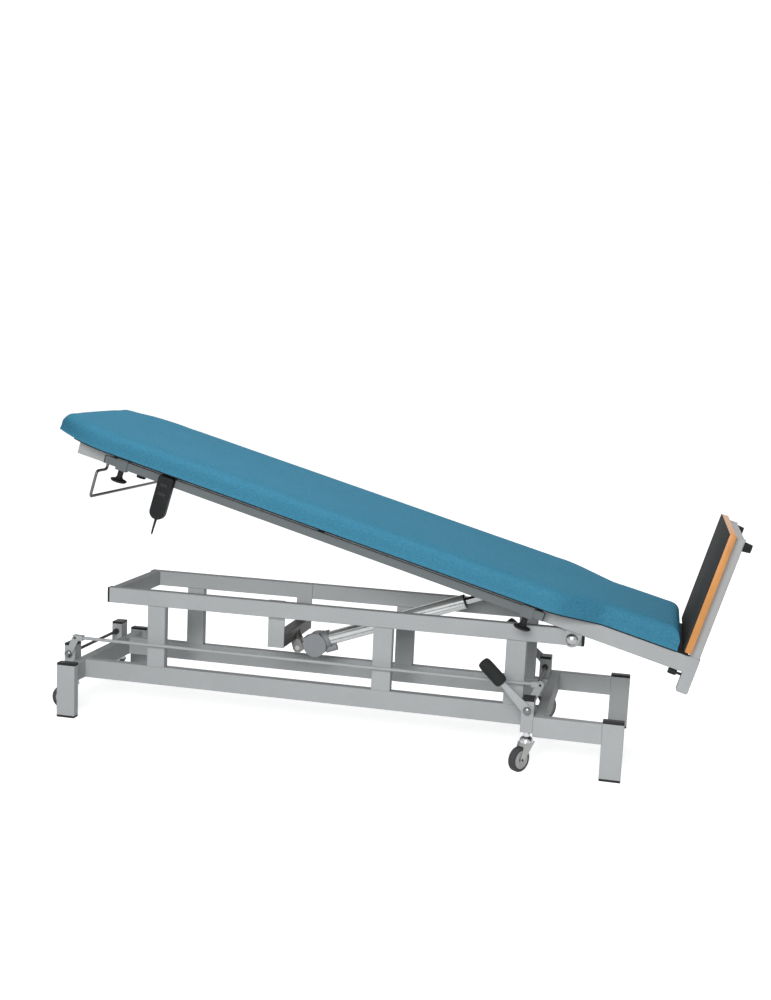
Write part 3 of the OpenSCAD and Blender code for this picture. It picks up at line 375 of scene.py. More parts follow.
@dataclass(frozen=True)
class Moulding:
    """Moulded plastic or rubber with a fine spark-eroded grain."""

    name: str
    colour: Colour
    roughness: float = 0.5
    grain: float = 1500.0
    relief: float = 0.3
    bloom: float = 0.15

    def material(self) -> Material:
        """Build the material.

        Returns:
            The material.
        """
        g = Graph(self.name)
        tone = g.ramp(g.noise(18.0, 4.0), [(0.35, shade(self.colour, 1 - self.bloom)),
                                           (0.65, shade(self.colour, 1 + self.bloom))])
        g.link(tone, g.shader.inputs["Base Color"])
        g.link(g.span(g.noise(80.0, 2.0), self.roughness - 0.06, self.roughness + 0.06),
               g.shader.inputs["Roughness"])
        g.bump(g.add(g.voronoi(self.grain), g.noise(self.grain * 0.5)), self.relief, 0.0002)
        g.set(Specular_IOR_Level=MATT_SPECULAR)
        return g.material


@dataclass(frozen=True)
class Vinyl:
    """Coated upholstery fabric: a speckled colour, a pebbled grain and a matt face."""

    name: str
    colour: Colour
    light: Colour
    dark: Colour
    fleck_scale: float = 280.0
    pebble_scale: float = 420.0

    def material(self) -> Material:
        """Build the material.

        Returns:
            The material.
        """
        g = Graph(self.name)
        cloud = g.ramp(g.noise(3.5, 3.0), [(0.3, shade(self.colour, 0.95)),
                                           (0.7, shade(self.colour, 1.05))])
        coarse = g.span(g.noise(self.fleck_scale * 0.6, 2.0, 0.6), 0.0, 0.4, (0.42, 0.62))
        fine = g.span(g.noise(self.fleck_scale, 3.0, 0.7), 0.0, 0.62, (0.44, 0.62))
        base = g.mix(fine, g.mix(coarse, cloud, self.dark), self.light)
        g.link(base, g.shader.inputs["Base Color"])
        g.link(g.span(g.noise(25.0, 2.0), 0.56, 0.68), g.shader.inputs["Roughness"])
        pebble = g.add(g.voronoi(self.pebble_scale), g.noise(self.fleck_scale, 3.0))
        g.bump(pebble, 0.35, 0.0006)
        g.set(Specular_IOR_Level=0.02)
        return g.material


@dataclass(frozen=True)
class LacqueredWood:
    """Clear-lacquered beech plywood: long grain on the faces and thin plies on the edges."""

    name: str
    light: Colour
    dark: Colour
    turn_y: float
    grain_scale: Point = (30.0, 260.0, 5.0)
    pore_share: float = 4.0

    def material(self) -> Material:
        """Build the material.

        Returns:
            The material.
        """
        g = Graph(self.name)
        grain_space = g.mapping(self.grain_scale, self.turn_y)
        long_grain = g.noise(1.0, 6.0, 0.62, grain_space)
        pore_scale = tuple(self.pore_share * s for s in self.grain_scale)
        pores = g.noise(1.0, 2.0, 0.5, g.mapping(pore_scale, self.turn_y))
        tone = g.ramp(long_grain, [(0.32, self.dark), (0.5, shade(self.light, 0.93)),
                                   (0.68, self.light)])
        fleck = g.span(pores, 0.0, 0.5, (0.6, 0.75))
        g.link(g.mix(fleck, tone, shade(self.dark, 0.75)), g.shader.inputs["Base Color"])
        g.link(g.span(long_grain, 0.3, 0.42), g.shader.inputs["Roughness"])
        g.bump(g.add(long_grain, pores), 0.12, 0.0004)
        g.set(Specular_IOR_Level=0.25, Coat_Weight=0.08, Coat_Roughness=0.3)
        return g.material


class Finish(Enum):
    """The finishes of the table."""

    FRAME = PowderCoat("frame_powder_coat", (0.408, 0.424, 0.429))
    RAIL = PowderCoat("rail_grey", (0.154, 0.172, 0.176), roughness=0.45, speckle=0.03)
    DARK = PowderCoat("dark_satin_steel", (0.045, 0.045, 0.043), roughness=0.35, speckle=0.1)
    CROSSBAR = PowderCoat("crossbar_and_ears", (0.085, 0.083, 0.078), roughness=0.4, speckle=0.1,
                          foot_tone=(0.30, 0.30, 0.29), foot_height=0.2642)
    CASTING = PowderCoat("housing_grey", (0.30, 0.315, 0.33), roughness=0.36, grain=1400.0,
                         speckle=0.03)
    CHROME = Metal("chrome", (0.50, 0.51, 0.52), 0.14, scratch=0.01)
    DOME = Metal("dull_dome_steel", (0.34, 0.345, 0.35), 0.22, scratch=0.02)
    NUT = Metal("dark_nut_steel", (0.16, 0.165, 0.17), 0.22, scratch=0.02)
    TUBE = Metal("chromed_tube", (0.62, 0.64, 0.635), 0.20, scratch_scale=(300.0, 12.0, 12.0),
                 turn_y=-20.3, scratch=0.004, metallic=0.6)
    ZINC = Metal("zinc_plate", (0.40, 0.41, 0.39), 0.36, scratch=0.06, metallic=0.75)
    BAR = Metal("dull_steel_rod", (0.12, 0.12, 0.12), 0.45, scratch=0.05)
    BLACK = Moulding("black_moulding", (0.018, 0.019, 0.020), 0.42)
    PANEL = Moulding("black_panel", (0.012, 0.012, 0.013), 0.55, grain=700.0)
    RUBBER = Moulding("black_rubber", (0.022, 0.023, 0.023), 0.68, grain=1100.0, relief=0.4)
    MAT = Moulding("footboard_mat_rubber", (0.034, 0.036, 0.036), 0.85, grain=450.0,
                   relief=0.6, bloom=0.1)
    KEY = Moulding("handset_keys", (0.034, 0.036, 0.038), 0.5)
    TYRE = Moulding("tyre_rubber", (0.075, 0.078, 0.080), 0.62, grain=900.0)
    HUB = Moulding("hub_plastic", (0.52, 0.52, 0.50), 0.45)
    VINYL = Vinyl("upholstery", (0.049, 0.214, 0.330), (0.074, 0.275, 0.400),
                  (0.030, 0.145, 0.215))
    BEECH = LacqueredWood("beech_board", (0.680, 0.300, 0.086), (0.56, 0.225, 0.060), REST_TILT)


class Finishes:
    """Builds each finish's material once."""

    def __init__(self) -> None:
        """Start with no material built."""
        self.made: dict[Finish, Material] = {}

    def get(self, finish: Finish) -> Material:
        """Return a finish's material, building it the first time.

        Args:
            finish: The finish.

        Returns:
            Its material.
        """
        if finish not in self.made:
            self.made[finish] = finish.value.material()
        return self.made[finish]

    def dress(self, piece: Piece, finish: Finish) -> None:
        """Give a piece one finish all over."""
        piece.data.materials.clear()
        piece.data.materials.append(self.get(finish))


# Modelling


class Bench:
    """Modelling steps shared by the sub-assemblies."""

    @staticmethod
    def clear() -> None:
        """Deselect every object."""
        if bpy.context.object and bpy.context.object.mode != "OBJECT":
            bpy.ops.object.mode_set(mode="OBJECT")
        bpy.ops.object.select_all(action="DESELECT")

    @staticmethod
    def focus(piece: Piece) -> None:
        """Select one object and make it active.

        Args:
            piece: The object.
        """
        Bench.clear()
        piece.select_set(True)
        bpy.context.view_layer.objects.active = piece

    @staticmethod
    def settle(piece: Piece, name: str, matrix: Matrix | None = None,
               smooth: float | None = PIECE_SMOOTH) -> Piece:
        """Apply a piece's own placing, move its mesh into the row frame and shade it.

        Args:
            piece: The mesh object.
            name: Its name.
            matrix: The placing of the sub-assembly that the piece was drawn in.
            smooth: The angle under which edges are shaded smooth, or None.

        Returns:
            The piece.
        """
        piece.name = name
        piece.data.name = name
        piece.data.transform(piece.matrix_basis)
        piece.matrix_basis = Matrix.Identity(4)
        if matrix is not None:
            piece.data.transform(matrix)
        Bench.focus(piece)
        if smooth is not None:
            bpy.ops.object.shade_smooth_by_angle(angle=math.radians(smooth))
        Bench.clear()
        return piece

    @staticmethod
    def block(low: Point, high: Point, edge: float, segments: int = 3) -> Piece:
        """Add a box between two corners and round all its edges.

        Args:
            low: The lowest corner.
            high: The highest corner.
            edge: The radius of the rounded edges.
            segments: The facets of each rounded edge.

        Returns:
            The new object, still to be settled.
        """
        Bench.clear()
        middle = [(a + b) / 2 for a, b in zip(low, high)]
        bpy.ops.mesh.primitive_cube_add(size=1, location=middle)
        piece = bpy.context.object
        piece.scale = [b - a for a, b in zip(low, high)]
        bpy.ops.object.transform_apply(location=False, rotation=False, scale=True)
        bpy.ops.object.mode_set(mode="EDIT")
        bpy.ops.mesh.select_all(action="SELECT")
        bpy.ops.mesh.bevel(offset=edge, segments=segments, affect="EDGES")
        bpy.ops.object.mode_set(mode="OBJECT")
        return piece

    @staticmethod
    def outline(points: Sequence[tuple[float, float]], thickness: float, edge: float,
                segments: int = 3) -> Piece:
        """Extrude a flat X-Z outline along +Y and round its rim.

        Args:
            points: The outline, anticlockwise seen from -Y.
            thickness: The extrusion's length.
            edge: The radius of the rounded rim.
            segments: The facets of the rim.

        Returns:
            The new object, still to be settled.
        """
        Bench.clear()
        mesh = bpy.data.meshes.new("outline")
        mesh.from_pydata([(x, 0, z) for x, z in points], [], [tuple(range(len(points)))])
        piece = bpy.data.objects.new("outline", mesh)
        bpy.context.scene.collection.objects.link(piece)
        Bench.focus(piece)
        bpy.ops.object.mode_set(mode="EDIT")
        bpy.ops.mesh.select_all(action="SELECT")
        bpy.ops.mesh.extrude_region_move(TRANSFORM_OT_translate={"value": (0, thickness, 0)})
        bpy.ops.mesh.select_all(action="SELECT")
        bpy.ops.mesh.normals_make_consistent(inside=False)
        if edge > 0:
            Bench.select_edges(piece, lambda a, b: abs(a.y - b.y) < SAME_PLACE)
            bpy.ops.mesh.bevel(offset=edge, segments=segments, affect="EDGES")
        bpy.ops.object.mode_set(mode="OBJECT")
        return piece

    @staticmethod
    def select_edges(piece: Piece, test: Callable[[Vector, Vector], bool]) -> None:
        """Select the edges whose two ends pass a test, in edit mode.

        Args:
            piece: The object in edit mode.
            test: The test of the two ends.
        """
        bpy.ops.mesh.select_mode(type="EDGE")
        bpy.ops.mesh.select_all(action="DESELECT")
        cage = bmesh.from_edit_mesh(piece.data)
        for edge in cage.edges:
            edge.select = test(edge.verts[0].co, edge.verts[1].co)
        bmesh.update_edit_mesh(piece.data)

    @staticmethod
    def lathe(profile: Sequence[tuple[float, float]], axis: Vector, centre: Vector,
              steps: int = 48) -> Piece:
        """Spin a profile of (radius, distance along the axis) points round an axis.

        Args:
            profile: The points, from one end of the axis to the other.
            axis: The axis, a unit vector.
            centre: The point that distance is counted from.
            steps: The facets of a full turn.

        Returns:
            The new object, still to be settled.
        """
        Bench.clear()
        side = axis.orthogonal().normalized()
        points = [centre + side * r + axis * s for r, s in profile]
        mesh = bpy.data.meshes.new("lathe")
        edges = [(i, i + 1) for i in range(len(points) - 1)]
        mesh.from_pydata([tuple(p) for p in points], edges, [])
        piece = bpy.data.objects.new("lathe", mesh)
        bpy.context.scene.collection.objects.link(piece)
        Bench.focus(piece)
        bpy.ops.object.mode_set(mode="EDIT")
        bpy.ops.mesh.select_all(action="SELECT")
        bpy.ops.mesh.spin(steps=steps, angle=2 * math.pi, center=tuple(centre), axis=tuple(axis))
        bpy.ops.mesh.select_all(action="SELECT")
        bpy.ops.mesh.remove_doubles(threshold=SAME_PLACE)
        bpy.ops.mesh.select_all(action="SELECT")
        bpy.ops.mesh.normals_make_consistent(inside=False)
        bpy.ops.object.mode_set(mode="OBJECT")
        return piece

    @staticmethod
    def copy(piece: Piece, name: str, matrix: Matrix) -> Piece:
        """Return a copy of a settled piece with its own mesh, moved by a matrix.

        Args:
            piece: The settled piece.
            name: The copy's name.
            matrix: The move; a mirror image keeps its faces outwards.

        Returns:
            The copy.
        """
        twin = piece.copy()
        twin.data = piece.data.copy()
        twin.name = name
        twin.data.name = name
        twin.data.transform(matrix)
        if matrix.determinant() < 0:
            twin.data.flip_normals()
        bpy.context.scene.collection.objects.link(twin)
        return twin


@dataclass
class Crew:
    """What every sub-assembly needs: the frame's nodes and the finishes."""

    nodes: dict[str, Piece]
    finishes: Finishes

    def paint(self, finish: Finish, names: Iterable[str]) -> None:
        """Dress CAD nodes that stay as they are.

        Args:
            finish: The finish.
            names: The nodes' names.
        """
        for name in names:
            node = self.nodes[name]
            self.finishes.dress(node, finish)
            Bench.focus(node)
            bpy.ops.object.shade_smooth_by_angle(angle=math.radians(NODE_SMOOTH))
            Bench.clear()
            LOG.info("dressed node %s", name)

    def place(self, piece: Piece, body: str, finish: Finish, slot: str,
              replaces: Sequence[str] = ()) -> Piece:
        """Dress a new piece, make it ride on a body and hide the nodes that it replaces.

        Args:
            piece: The settled piece.
            body: The body that it moves with.
            finish: Its finish.
            slot: Not used.
            replaces: The nodes that it replaces, if any.

        Returns:
            The piece.
        """
        self.finishes.dress(piece, finish)
        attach(piece, body)
        if replaces:
            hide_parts(*replaces)
        LOG.info("made piece %s on %s", piece.name, body)
        return piece


# Sub-assemblies


@dataclass(frozen=True)
class Lamp:
    """A rectangular lamp that faces a point."""

    name: str
    place: Point
    target: Point
    size: tuple[float, float]
    power: float

    def build(self) -> None:
        """Add the lamp."""
        data = bpy.data.lights.new(self.name, "AREA")
        data.shape = "RECTANGLE"
        data.size, data.size_y = self.size
        data.energy = self.power
        lamp = bpy.data.objects.new(self.name, data)
        bpy.context.scene.collection.objects.link(lamp)
        lamp.location = self.place
        lamp.rotation_mode = "QUATERNION"
        facing = Vector(self.target) - Vector(self.place)
        lamp.rotation_quaternion = facing.to_track_quat("-Z", "Y")


@dataclass
class Studio:
    """The photograph's camera, soft lamps, a pale floor and a white surround."""

    camera_place: Point = (0.7998, -3.88445, 1.17676)
    yaw: float = 14.194202
    pitch: float = -8.97005
    roll: float = 2.357978
    lens: float = 45.285
    centre_px: tuple[float, float] = (335.962, 556.464)
    sensor: float = 36.0
    view_end: float = 60.0
    sky_colour: Colour = (0.95, 0.975, 1.0)
    diffuse_sky: float = 0.11
    floor_size: float = 40.0
    floor_drop: float = 0.0004
    floor_colour: Colour = (0.80, 0.81, 0.82)
    floor_glow: float = 0.79
    glow_near: float = 1.5
    glow_far: float = 3.6
    lamps: tuple[Lamp, ...] = (
        Lamp("key", (0.35, -5.6, 2.3), (0.0, 0, 0.45), (2.2, 1.9), 224),
        Lamp("top", (-0.25, -0.2, 3.8), (0.0, 0, 0.4), (2.6, 1.8), 74),
        Lamp("rim", (3.2, 2.2, 2.2), (0.2, 0, 0.4), (1.5, 1.5), 10))

    def camera(self) -> None:
        """Place the camera at the photograph's viewing angle."""
        yaw, pitch, roll = (math.radians(a) for a in (self.yaw, self.pitch, self.roll))
        ahead = Vector((-math.sin(yaw) * math.cos(pitch), math.cos(yaw) * math.cos(pitch),
                        math.sin(pitch)))
        level = Vector((math.cos(yaw), math.sin(yaw), 0))
        upright = level.cross(ahead)
        right = math.cos(roll) * level + math.sin(roll) * upright
        up = -math.sin(roll) * level + math.cos(roll) * upright
        data = bpy.data.cameras.new("photo_camera")
        data.sensor_width = self.sensor
        data.lens = self.lens
        long_side = max(PHOTO_WIDTH, PHOTO_HEIGHT)
        data.shift_x = (PHOTO_WIDTH / 2 - self.centre_px[0]) / long_side
        data.shift_y = (self.centre_px[1] - PHOTO_HEIGHT / 2) / long_side
        data.clip_end = self.view_end
        camera = bpy.data.objects.new("photo_camera", data)
        bpy.context.scene.collection.objects.link(camera)
        turn = Matrix((right, up, -ahead)).transposed().to_4x4()
        camera.matrix_world = Matrix.Translation(self.camera_place) @ turn
        bpy.context.scene.camera = camera

    def surround(self) -> None:
        """Make the world white where it is seen, and a soft sky where it lights."""
        world = bpy.data.worlds.new("studio")
        bpy.context.scene.world = world
        world.use_nodes = True
        tree = world.node_tree
        tree.nodes.clear()
        output = tree.nodes.new("ShaderNodeOutputWorld")
        path = tree.nodes.new("ShaderNodeLightPath")
        seen = self._seen(tree, path)
        mix = tree.nodes.new("ShaderNodeMixShader")
        sky, white = (tree.nodes.new("ShaderNodeBackground") for _ in range(2))
        sky.inputs["Color"].default_value = (*self.sky_colour, 1)
        sky.inputs["Strength"].default_value = self.diffuse_sky
        white.inputs["Color"].default_value = (1, 1, 1, 1)
        tree.links.new(seen, mix.inputs["Fac"])
        tree.links.new(sky.outputs[0], mix.inputs[1])
        tree.links.new(white.outputs[0], mix.inputs[2])
        tree.links.new(mix.outputs[0], output.inputs["Surface"])

    @staticmethod
    def _seen(tree: bpy.types.NodeTree, path: bpy.types.Node) -> Socket:
        """Return 1 for camera, glossy and transmission rays.

        Args:
            tree: The node tree to build in.
            path: Its Light Path node.

        Returns:
            1 for these rays and 0 for the rest.
        """
        total = path.outputs["Is Camera Ray"]
        for name in ("Is Glossy Ray", "Is Transmission Ray"):
            node = tree.nodes.new("ShaderNodeMath")
            node.operation = "MAXIMUM"
            tree.links.new(total, node.inputs[0])
            tree.links.new(path.outputs[name], node.inputs[1])
            total = node.outputs[0]
        return total

    def floor(self) -> None:
        """Lay a pale floor that melts into the white and keeps the object's shadow."""
        Bench.clear()
        bpy.ops.mesh.primitive_plane_add(size=self.floor_size, location=(0, 0, -self.floor_drop))
        floor = bpy.context.object
        floor.name = "floor"
        material = bpy.data.materials.new("pale_floor")
        material.use_nodes = True
        tree = material.node_tree
        tree.nodes.clear()
        output = tree.nodes.new("ShaderNodeOutputMaterial")
        path = tree.nodes.new("ShaderNodeLightPath")
        diffuse = tree.nodes.new("ShaderNodeBsdfDiffuse")
        diffuse.inputs["Color"].default_value = (*self.floor_colour, 1)
        glow = tree.nodes.new("ShaderNodeEmission")
        glow.inputs["Color"].default_value = (1, 1, 1, 1)
        tree.links.new(self._floor_strength(tree, path), glow.inputs["Strength"])
        both = tree.nodes.new("ShaderNodeAddShader")
        tree.links.new(diffuse.outputs[0], both.inputs[0])
        tree.links.new(glow.outputs[0], both.inputs[1])
        tree.links.new(both.outputs[0], output.inputs["Surface"])
        floor.data.materials.append(material)

    def _floor_strength(self, tree: bpy.types.NodeTree, path: bpy.types.Node) -> Socket:
        """Return the floor's glow where it is seen: fainter near the object, white far away.

        Args:
            tree: The floor material's node tree.
            path: Its Light Path node.

        Returns:
            The strength of the glow.
        """
        coords = tree.nodes.new("ShaderNodeTexCoord")
        far = tree.nodes.new("ShaderNodeVectorMath")
        far.operation = "LENGTH"
        tree.links.new(coords.outputs["Object"], far.inputs[0])
        fade = tree.nodes.new("ShaderNodeMapRange")
        for label, value in (("From Min", self.glow_near), ("From Max", self.glow_far),
                             ("To Min", self.floor_glow), ("To Max", 1.0)):
            fade.inputs[label].default_value = value
        tree.links.new(far.outputs["Value"], fade.inputs["Value"])
        scale = tree.nodes.new("ShaderNodeMath")
        scale.operation = "MULTIPLY"
        tree.links.new(self._seen(tree, path), scale.inputs[0])
        tree.links.new(fade.outputs["Result"], scale.inputs[1])
        return scale.outputs[0]

    def build(self) -> None:
        """Place everything that isn't part of the object."""
        bpy.context.scene.view_settings.view_transform = "Standard"
        self.camera()
        self.surround()
        self.floor()
        for lamp in self.lamps:
            lamp.build()


@dataclass
class BaseFrame:
    """The welded base: its nodes keep their shape and get paint, caps and feet."""

    crew: Crew
    painted: tuple[str, ...] = ("lower_rails", "cross_members", "uprights", "top_frame", "legs",
                                "drop_plates", "caster_posts")

    def build(self) -> None:
        """Dress the base."""
        self.crew.paint(Finish.FRAME, self.painted)
        self.crew.paint(Finish.BLACK, ("tube_caps",))
        self.crew.paint(Finish.RUBBER, ("leg_feet",))
        self.crew.paint(Finish.CROSSBAR, ("actuator_crossbar",))


@dataclass
class CasterLift:
    """Shafts, pedals, link rod and the four casters."""

    crew: Crew
    foot_x: float = PIVOT_X - 0.1075
    head_x: float = PIVOT_X - 1.6085
    foot_y: float = 0.281
    head_y: float = 0.185
    shaft_z: float = 0.188
    crank_length: float = 0.062
    crank_angle: float = 66.0
    crank_y: float = 0.215
    trail: float = 0.028
    axle_z: float = 0.038
    wheel_half: float = 0.011
    arm_y: float = 0.311
    pedal_angle: float = 136.0
    pedal_length: float = 0.194
    grip_length: float = 0.088
    grip_radius: float = 0.020
    grip_facets: int = 56
    plate_radius: float = 0.0112
    plate_steps: int = 12
    plate_thickness: float = 0.0066
    plate_edge: float = 0.0008
    swivels: tuple[tuple[str, float], ...] = (
        ("near_foot", 55.0), ("far_foot", 240.0), ("near_head", 30.0), ("far_head", 330.0))

    def hub(self) -> Piece:
        """Model one hub cover: a stepped disc with a raised boss, drawn at the origin.

        Returns:
            The cover of the left side of a wheel.
        """
        w = self.wheel_half
        profile = [(0.0, w + 0.0012), (0.0055, w + 0.0012), (0.0065, w + 0.0004),
                   (0.0068, w - 0.0016), (0.0120, w - 0.0019), (0.0135, w - 0.0006),
                   (0.0160, w - 0.0004), (0.0175, w - 0.0018), (0.0214, w - 0.0019),
                   (0.0224, w + 0.0003), (0.0262, w + 0.0004), (0.0268, w + 0.00005),
                   (0.0226, w + 0.00005), (0.0226, w - 0.0026), (0.0, w - 0.0026)]
        piece = Bench.lathe(profile, Vector((0, 1, 0)), Vector((0, 0, 0)), 48)
        return Bench.settle(piece, "hub_cover")

    def build(self) -> None:
        """Dress the lift's nodes and add hub covers, crank plates and grips."""
        crew = self.crew
        crew.paint(Finish.FRAME, ("pedal_arms", "link_rod"))
        crew.paint(Finish.DARK, ("foot_shaft", "head_shaft"))
        crew.paint(Finish.NUT, ("foot_shaft_nuts", "head_shaft_nuts"))
        for corner, _ in self.swivels:
            crew.paint(Finish.CHROME, (corner + "_stem",))
            crew.paint(Finish.ZINC, (corner + "_fork",))
            crew.paint(Finish.TYRE, (corner + "_wheel",))
        model = self.hub()
        for corner, swivel in self.swivels:
            turn = Matrix.Rotation(math.radians(swivel), 4, "Z")
            x = self.foot_x if "foot" in corner else self.head_x
            y = (self.foot_y if "foot" in corner else self.head_y) * (-1 if "near" in corner else 1)
            seat = (Matrix.Translation((x, y, self.axle_z)) @ turn
                    @ Matrix.Translation((-self.trail, 0, 0)))
            for label, flip in (("left", 1), ("right", -1)):
                place = seat @ Matrix.Scale(flip, 4, (0, 1, 0))
                piece = Bench.copy(model, f"{corner}_hub_{label}", place)
                crew.place(piece, corner + "_roller", Finish.HUB, "tyre_grey")
        bpy.data.objects.remove(model)
        self.crank_plates()
        self.grips()

    def grips(self) -> None:
        """Model the two rubber grips of the pedal as rounded sleeves."""
        low, high, r = self.pedal_length - self.grip_length, self.pedal_length, self.grip_radius
        shape = [(0.0, low), (0.60, low), (0.78, low + 0.0012), (0.90, low + 0.0040),
                 (0.97, low + 0.0085), (1.0, low + 0.015), (1.0, high - 0.024),
                 (0.985, high - 0.0165), (0.94, high - 0.0100), (0.85, high - 0.0050),
                 (0.70, high - 0.0020), (0.45, high - 0.0005), (0.0, high)]
        angle = math.radians(self.pedal_angle)
        axis = Vector((math.cos(angle), 0, math.sin(angle)))
        profile = [(share * r, place) for share, place in shape]
        for label, side in (("near", -1), ("far", 1)):
            centre = Vector((self.foot_x, side * self.arm_y, self.shaft_z))
            grip = Bench.lathe(profile, axis, centre, self.grip_facets)
            Bench.settle(grip, label + "_pedal_sleeve", smooth=SOFT_SMOOTH)
            replaced = ("pedal_grips",) if side < 0 else ()
            self.crew.place(grip, "pedal_shaft", Finish.RUBBER, "black_rubber", replaced)

    def crank_plates(self) -> None:
        """Model the light plates that face the two cranks."""
        angle = math.radians(self.crank_angle)
        r = self.plate_radius
        turns = [math.pi * i / self.plate_steps for i in range(self.plate_steps + 1)]
        loop = [(self.crank_length + r * math.sin(a), -r * math.cos(a)) for a in turns]
        loop += [(-r * math.sin(a), r * math.cos(a)) for a in turns]
        turned = [(s * math.cos(angle) - n * math.sin(angle),
                   s * math.sin(angle) + n * math.cos(angle)) for s, n in loop]
        for label, x, body in (("foot", self.foot_x, "pedal_shaft"),
                               ("head", self.head_x, "head_lift_shaft")):
            plate = Bench.outline(turned, self.plate_thickness, self.plate_edge, 2)
            plate.location = (x, -self.crank_y - self.plate_thickness / 2, self.shaft_z)
            Bench.settle(plate, label + "_crank_plate")
            self.crew.place(plate, body, Finish.FRAME, "frame_paint")


@dataclass
class Mattress:
    """The upholstered pad: a lattice that follows its outline, inflated a little as cloth."""

    crew: Crew
    low: float = 0.0752
    thickness: float = 0.0575
    back: float = 1.730
    front: float = 0.292
    half: float = 0.320
    head_half: float = 0.215
    foot_half: float = 0.232
    corner: float = 0.225
    neck_start: float = 0.095
    neck_end: float = 0.064
    neck_ease: float = 0.3
    inset: float = 0.002
    edge: float = 0.028
    crown: float = 0.002
    spacing: float = 0.020
    walls: int = 4
    rim: tuple[float, ...] = (0.0, 0.002, 0.005, 0.009, 0.014, 0.020, 0.029, 0.042)
    swell: float = 0.003
    held_height: float = 0.004
    pressure: float = 4.0
    frames: int = 20
    fill: float = 0.95
    near: float = 1e-4
    level: float = 1e-5

    def half_width(self, u: float) -> float:
        """Return the pad's half width at a place along the top.

        Args:
            u: The place, from the pivot towards the foot end.

        Returns:
            Half of the width there.
        """
        if u < -self.back + self.corner:
            t = max(0.0, (u + self.back) / self.corner)
            return self.head_half + (self.half - self.head_half) * (1 - (1 - t) ** 2)
        if u < -self.neck_start:
            return self.half
        if u < self.neck_end:
            t = (u + self.neck_start) / (self.neck_end + self.neck_start)
            k = self.neck_ease
            share = (t * t / k / 2 if t < k else t - k / 2) / (1 - k / 2)
            return self.half - (self.half - self.foot_half) * share
        return self.foot_half

    def stations(self) -> list[float]:
        """Return the lattice's places along the top, closer together at both ends.

        Returns:
            The places, from the head end on.
        """
        low, high = -self.back + self.inset, self.front - self.inset
        count = round((high - low - 2 * self.rim[-1]) / self.spacing)
        step = (high - low - 2 * self.rim[-1]) / count
        inner = [low + self.rim[-1] + step * i for i in range(1, count)]
        nearest = min(range(len(inner)), key=lambda i: abs(inner[i] - self.neck_end))
        inner[nearest] = self.neck_end
        return [low + d for d in self.rim] + inner + [high - d for d in reversed(self.rim)]

    def rows(self) -> list[tuple[float, float]]:
        """Return the lattice's rows across, as (share of the half width, offset).

        Returns:
            The rows, from the near side on.
        """
        band = self.rim[-1]
        count = round(2 * (self.half - band) / self.spacing)
        inner = [-1 + 2 * i / count for i in range(1, count)]
        return ([(-1.0, d) for d in self.rim] + [(f, -f * band) for f in inner]
                + [(1.0, -d) for d in reversed(self.rim)])

    def blank(self) -> Piece:
        """Cut the foam: a lattice bent to the outline, raised in steps and rounded on top.

        Returns:
            The closed blank, in the frame of the top.
        """
        stations, rows = self.stations(), self.rows()
        Bench.clear()
        bpy.ops.mesh.primitive_grid_add(
            x_subdivisions=len(stations) - 1, y_subdivisions=len(rows) - 1, size=2)
        piece = bpy.context.object
        for vertex in piece.data.vertices:
            i = round((vertex.co.x + 1) / 2 * (len(stations) - 1))
            share, offset = rows[round((vertex.co.y + 1) / 2 * (len(rows) - 1))]
            u = stations[i]
            vertex.co = (u, share * (self.half_width(u) - self.inset) + offset, self.low)
        Bench.focus(piece)
        bpy.ops.object.mode_set(mode="EDIT")
        bpy.ops.mesh.select_all(action="SELECT")
        rise = (self.thickness - self.edge) / self.walls
        for _ in range(self.walls):
            bpy.ops.mesh.extrude_region_move(TRANSFORM_OT_translate={"value": (0, 0, rise)})
        bpy.ops.mesh.select_all(action="SELECT")
        bpy.ops.mesh.normals_make_consistent(inside=False)
        Bench.select_edges(piece, self._on_lower_rim)
        bpy.ops.transform.edge_crease(value=1.0)
        bpy.ops.object.mode_set(mode="OBJECT")
        shoulder = self.low + self.thickness - self.edge
        for vertex in piece.data.vertices:
            if vertex.co.z > shoulder - self.level:
                vertex.co.z = shoulder + self._dome(vertex.co.x, vertex.co.y)
        return piece

    def _outer(self, place: Vector) -> bool:
        """Say whether a point lies on the bottom's rim.

        Args:
            place: The point, in the frame of the top.

        Returns:
            True if it does.
        """
        near_side = self.half_width(place.x) - self.inset - abs(place.y) < self.near
        near_end = min(place.x + self.back, self.front - place.x) - self.inset < self.near
        return place.z < self.low + self.level and (near_side or near_end)

    def _on_lower_rim(self, first: Vector, second: Vector) -> bool:
        """Say whether both ends of an edge lie on the bottom's rim."""
        return self._outer(first) and self._outer(second)

    def _dome(self, u: float, w: float) -> float:
        """Return the height above the shoulder: rounded rims and a slight crown.

        Args:
            u: The place along the top.
            w: The place across it.

        Returns:
            The height.
        """
        half = self.half_width(u) - self.inset
        side = half - abs(w)
        end = min(u + self.back, self.front - u) - self.inset
        r = self.edge
        rise = r
        for inward in (side, end):
            rise *= math.sqrt(max(0.0, 1 - (max(0.0, r - inward) / r) ** 2))
        return rise + self.crown * (1 - (w / half) ** 2) * rise / r

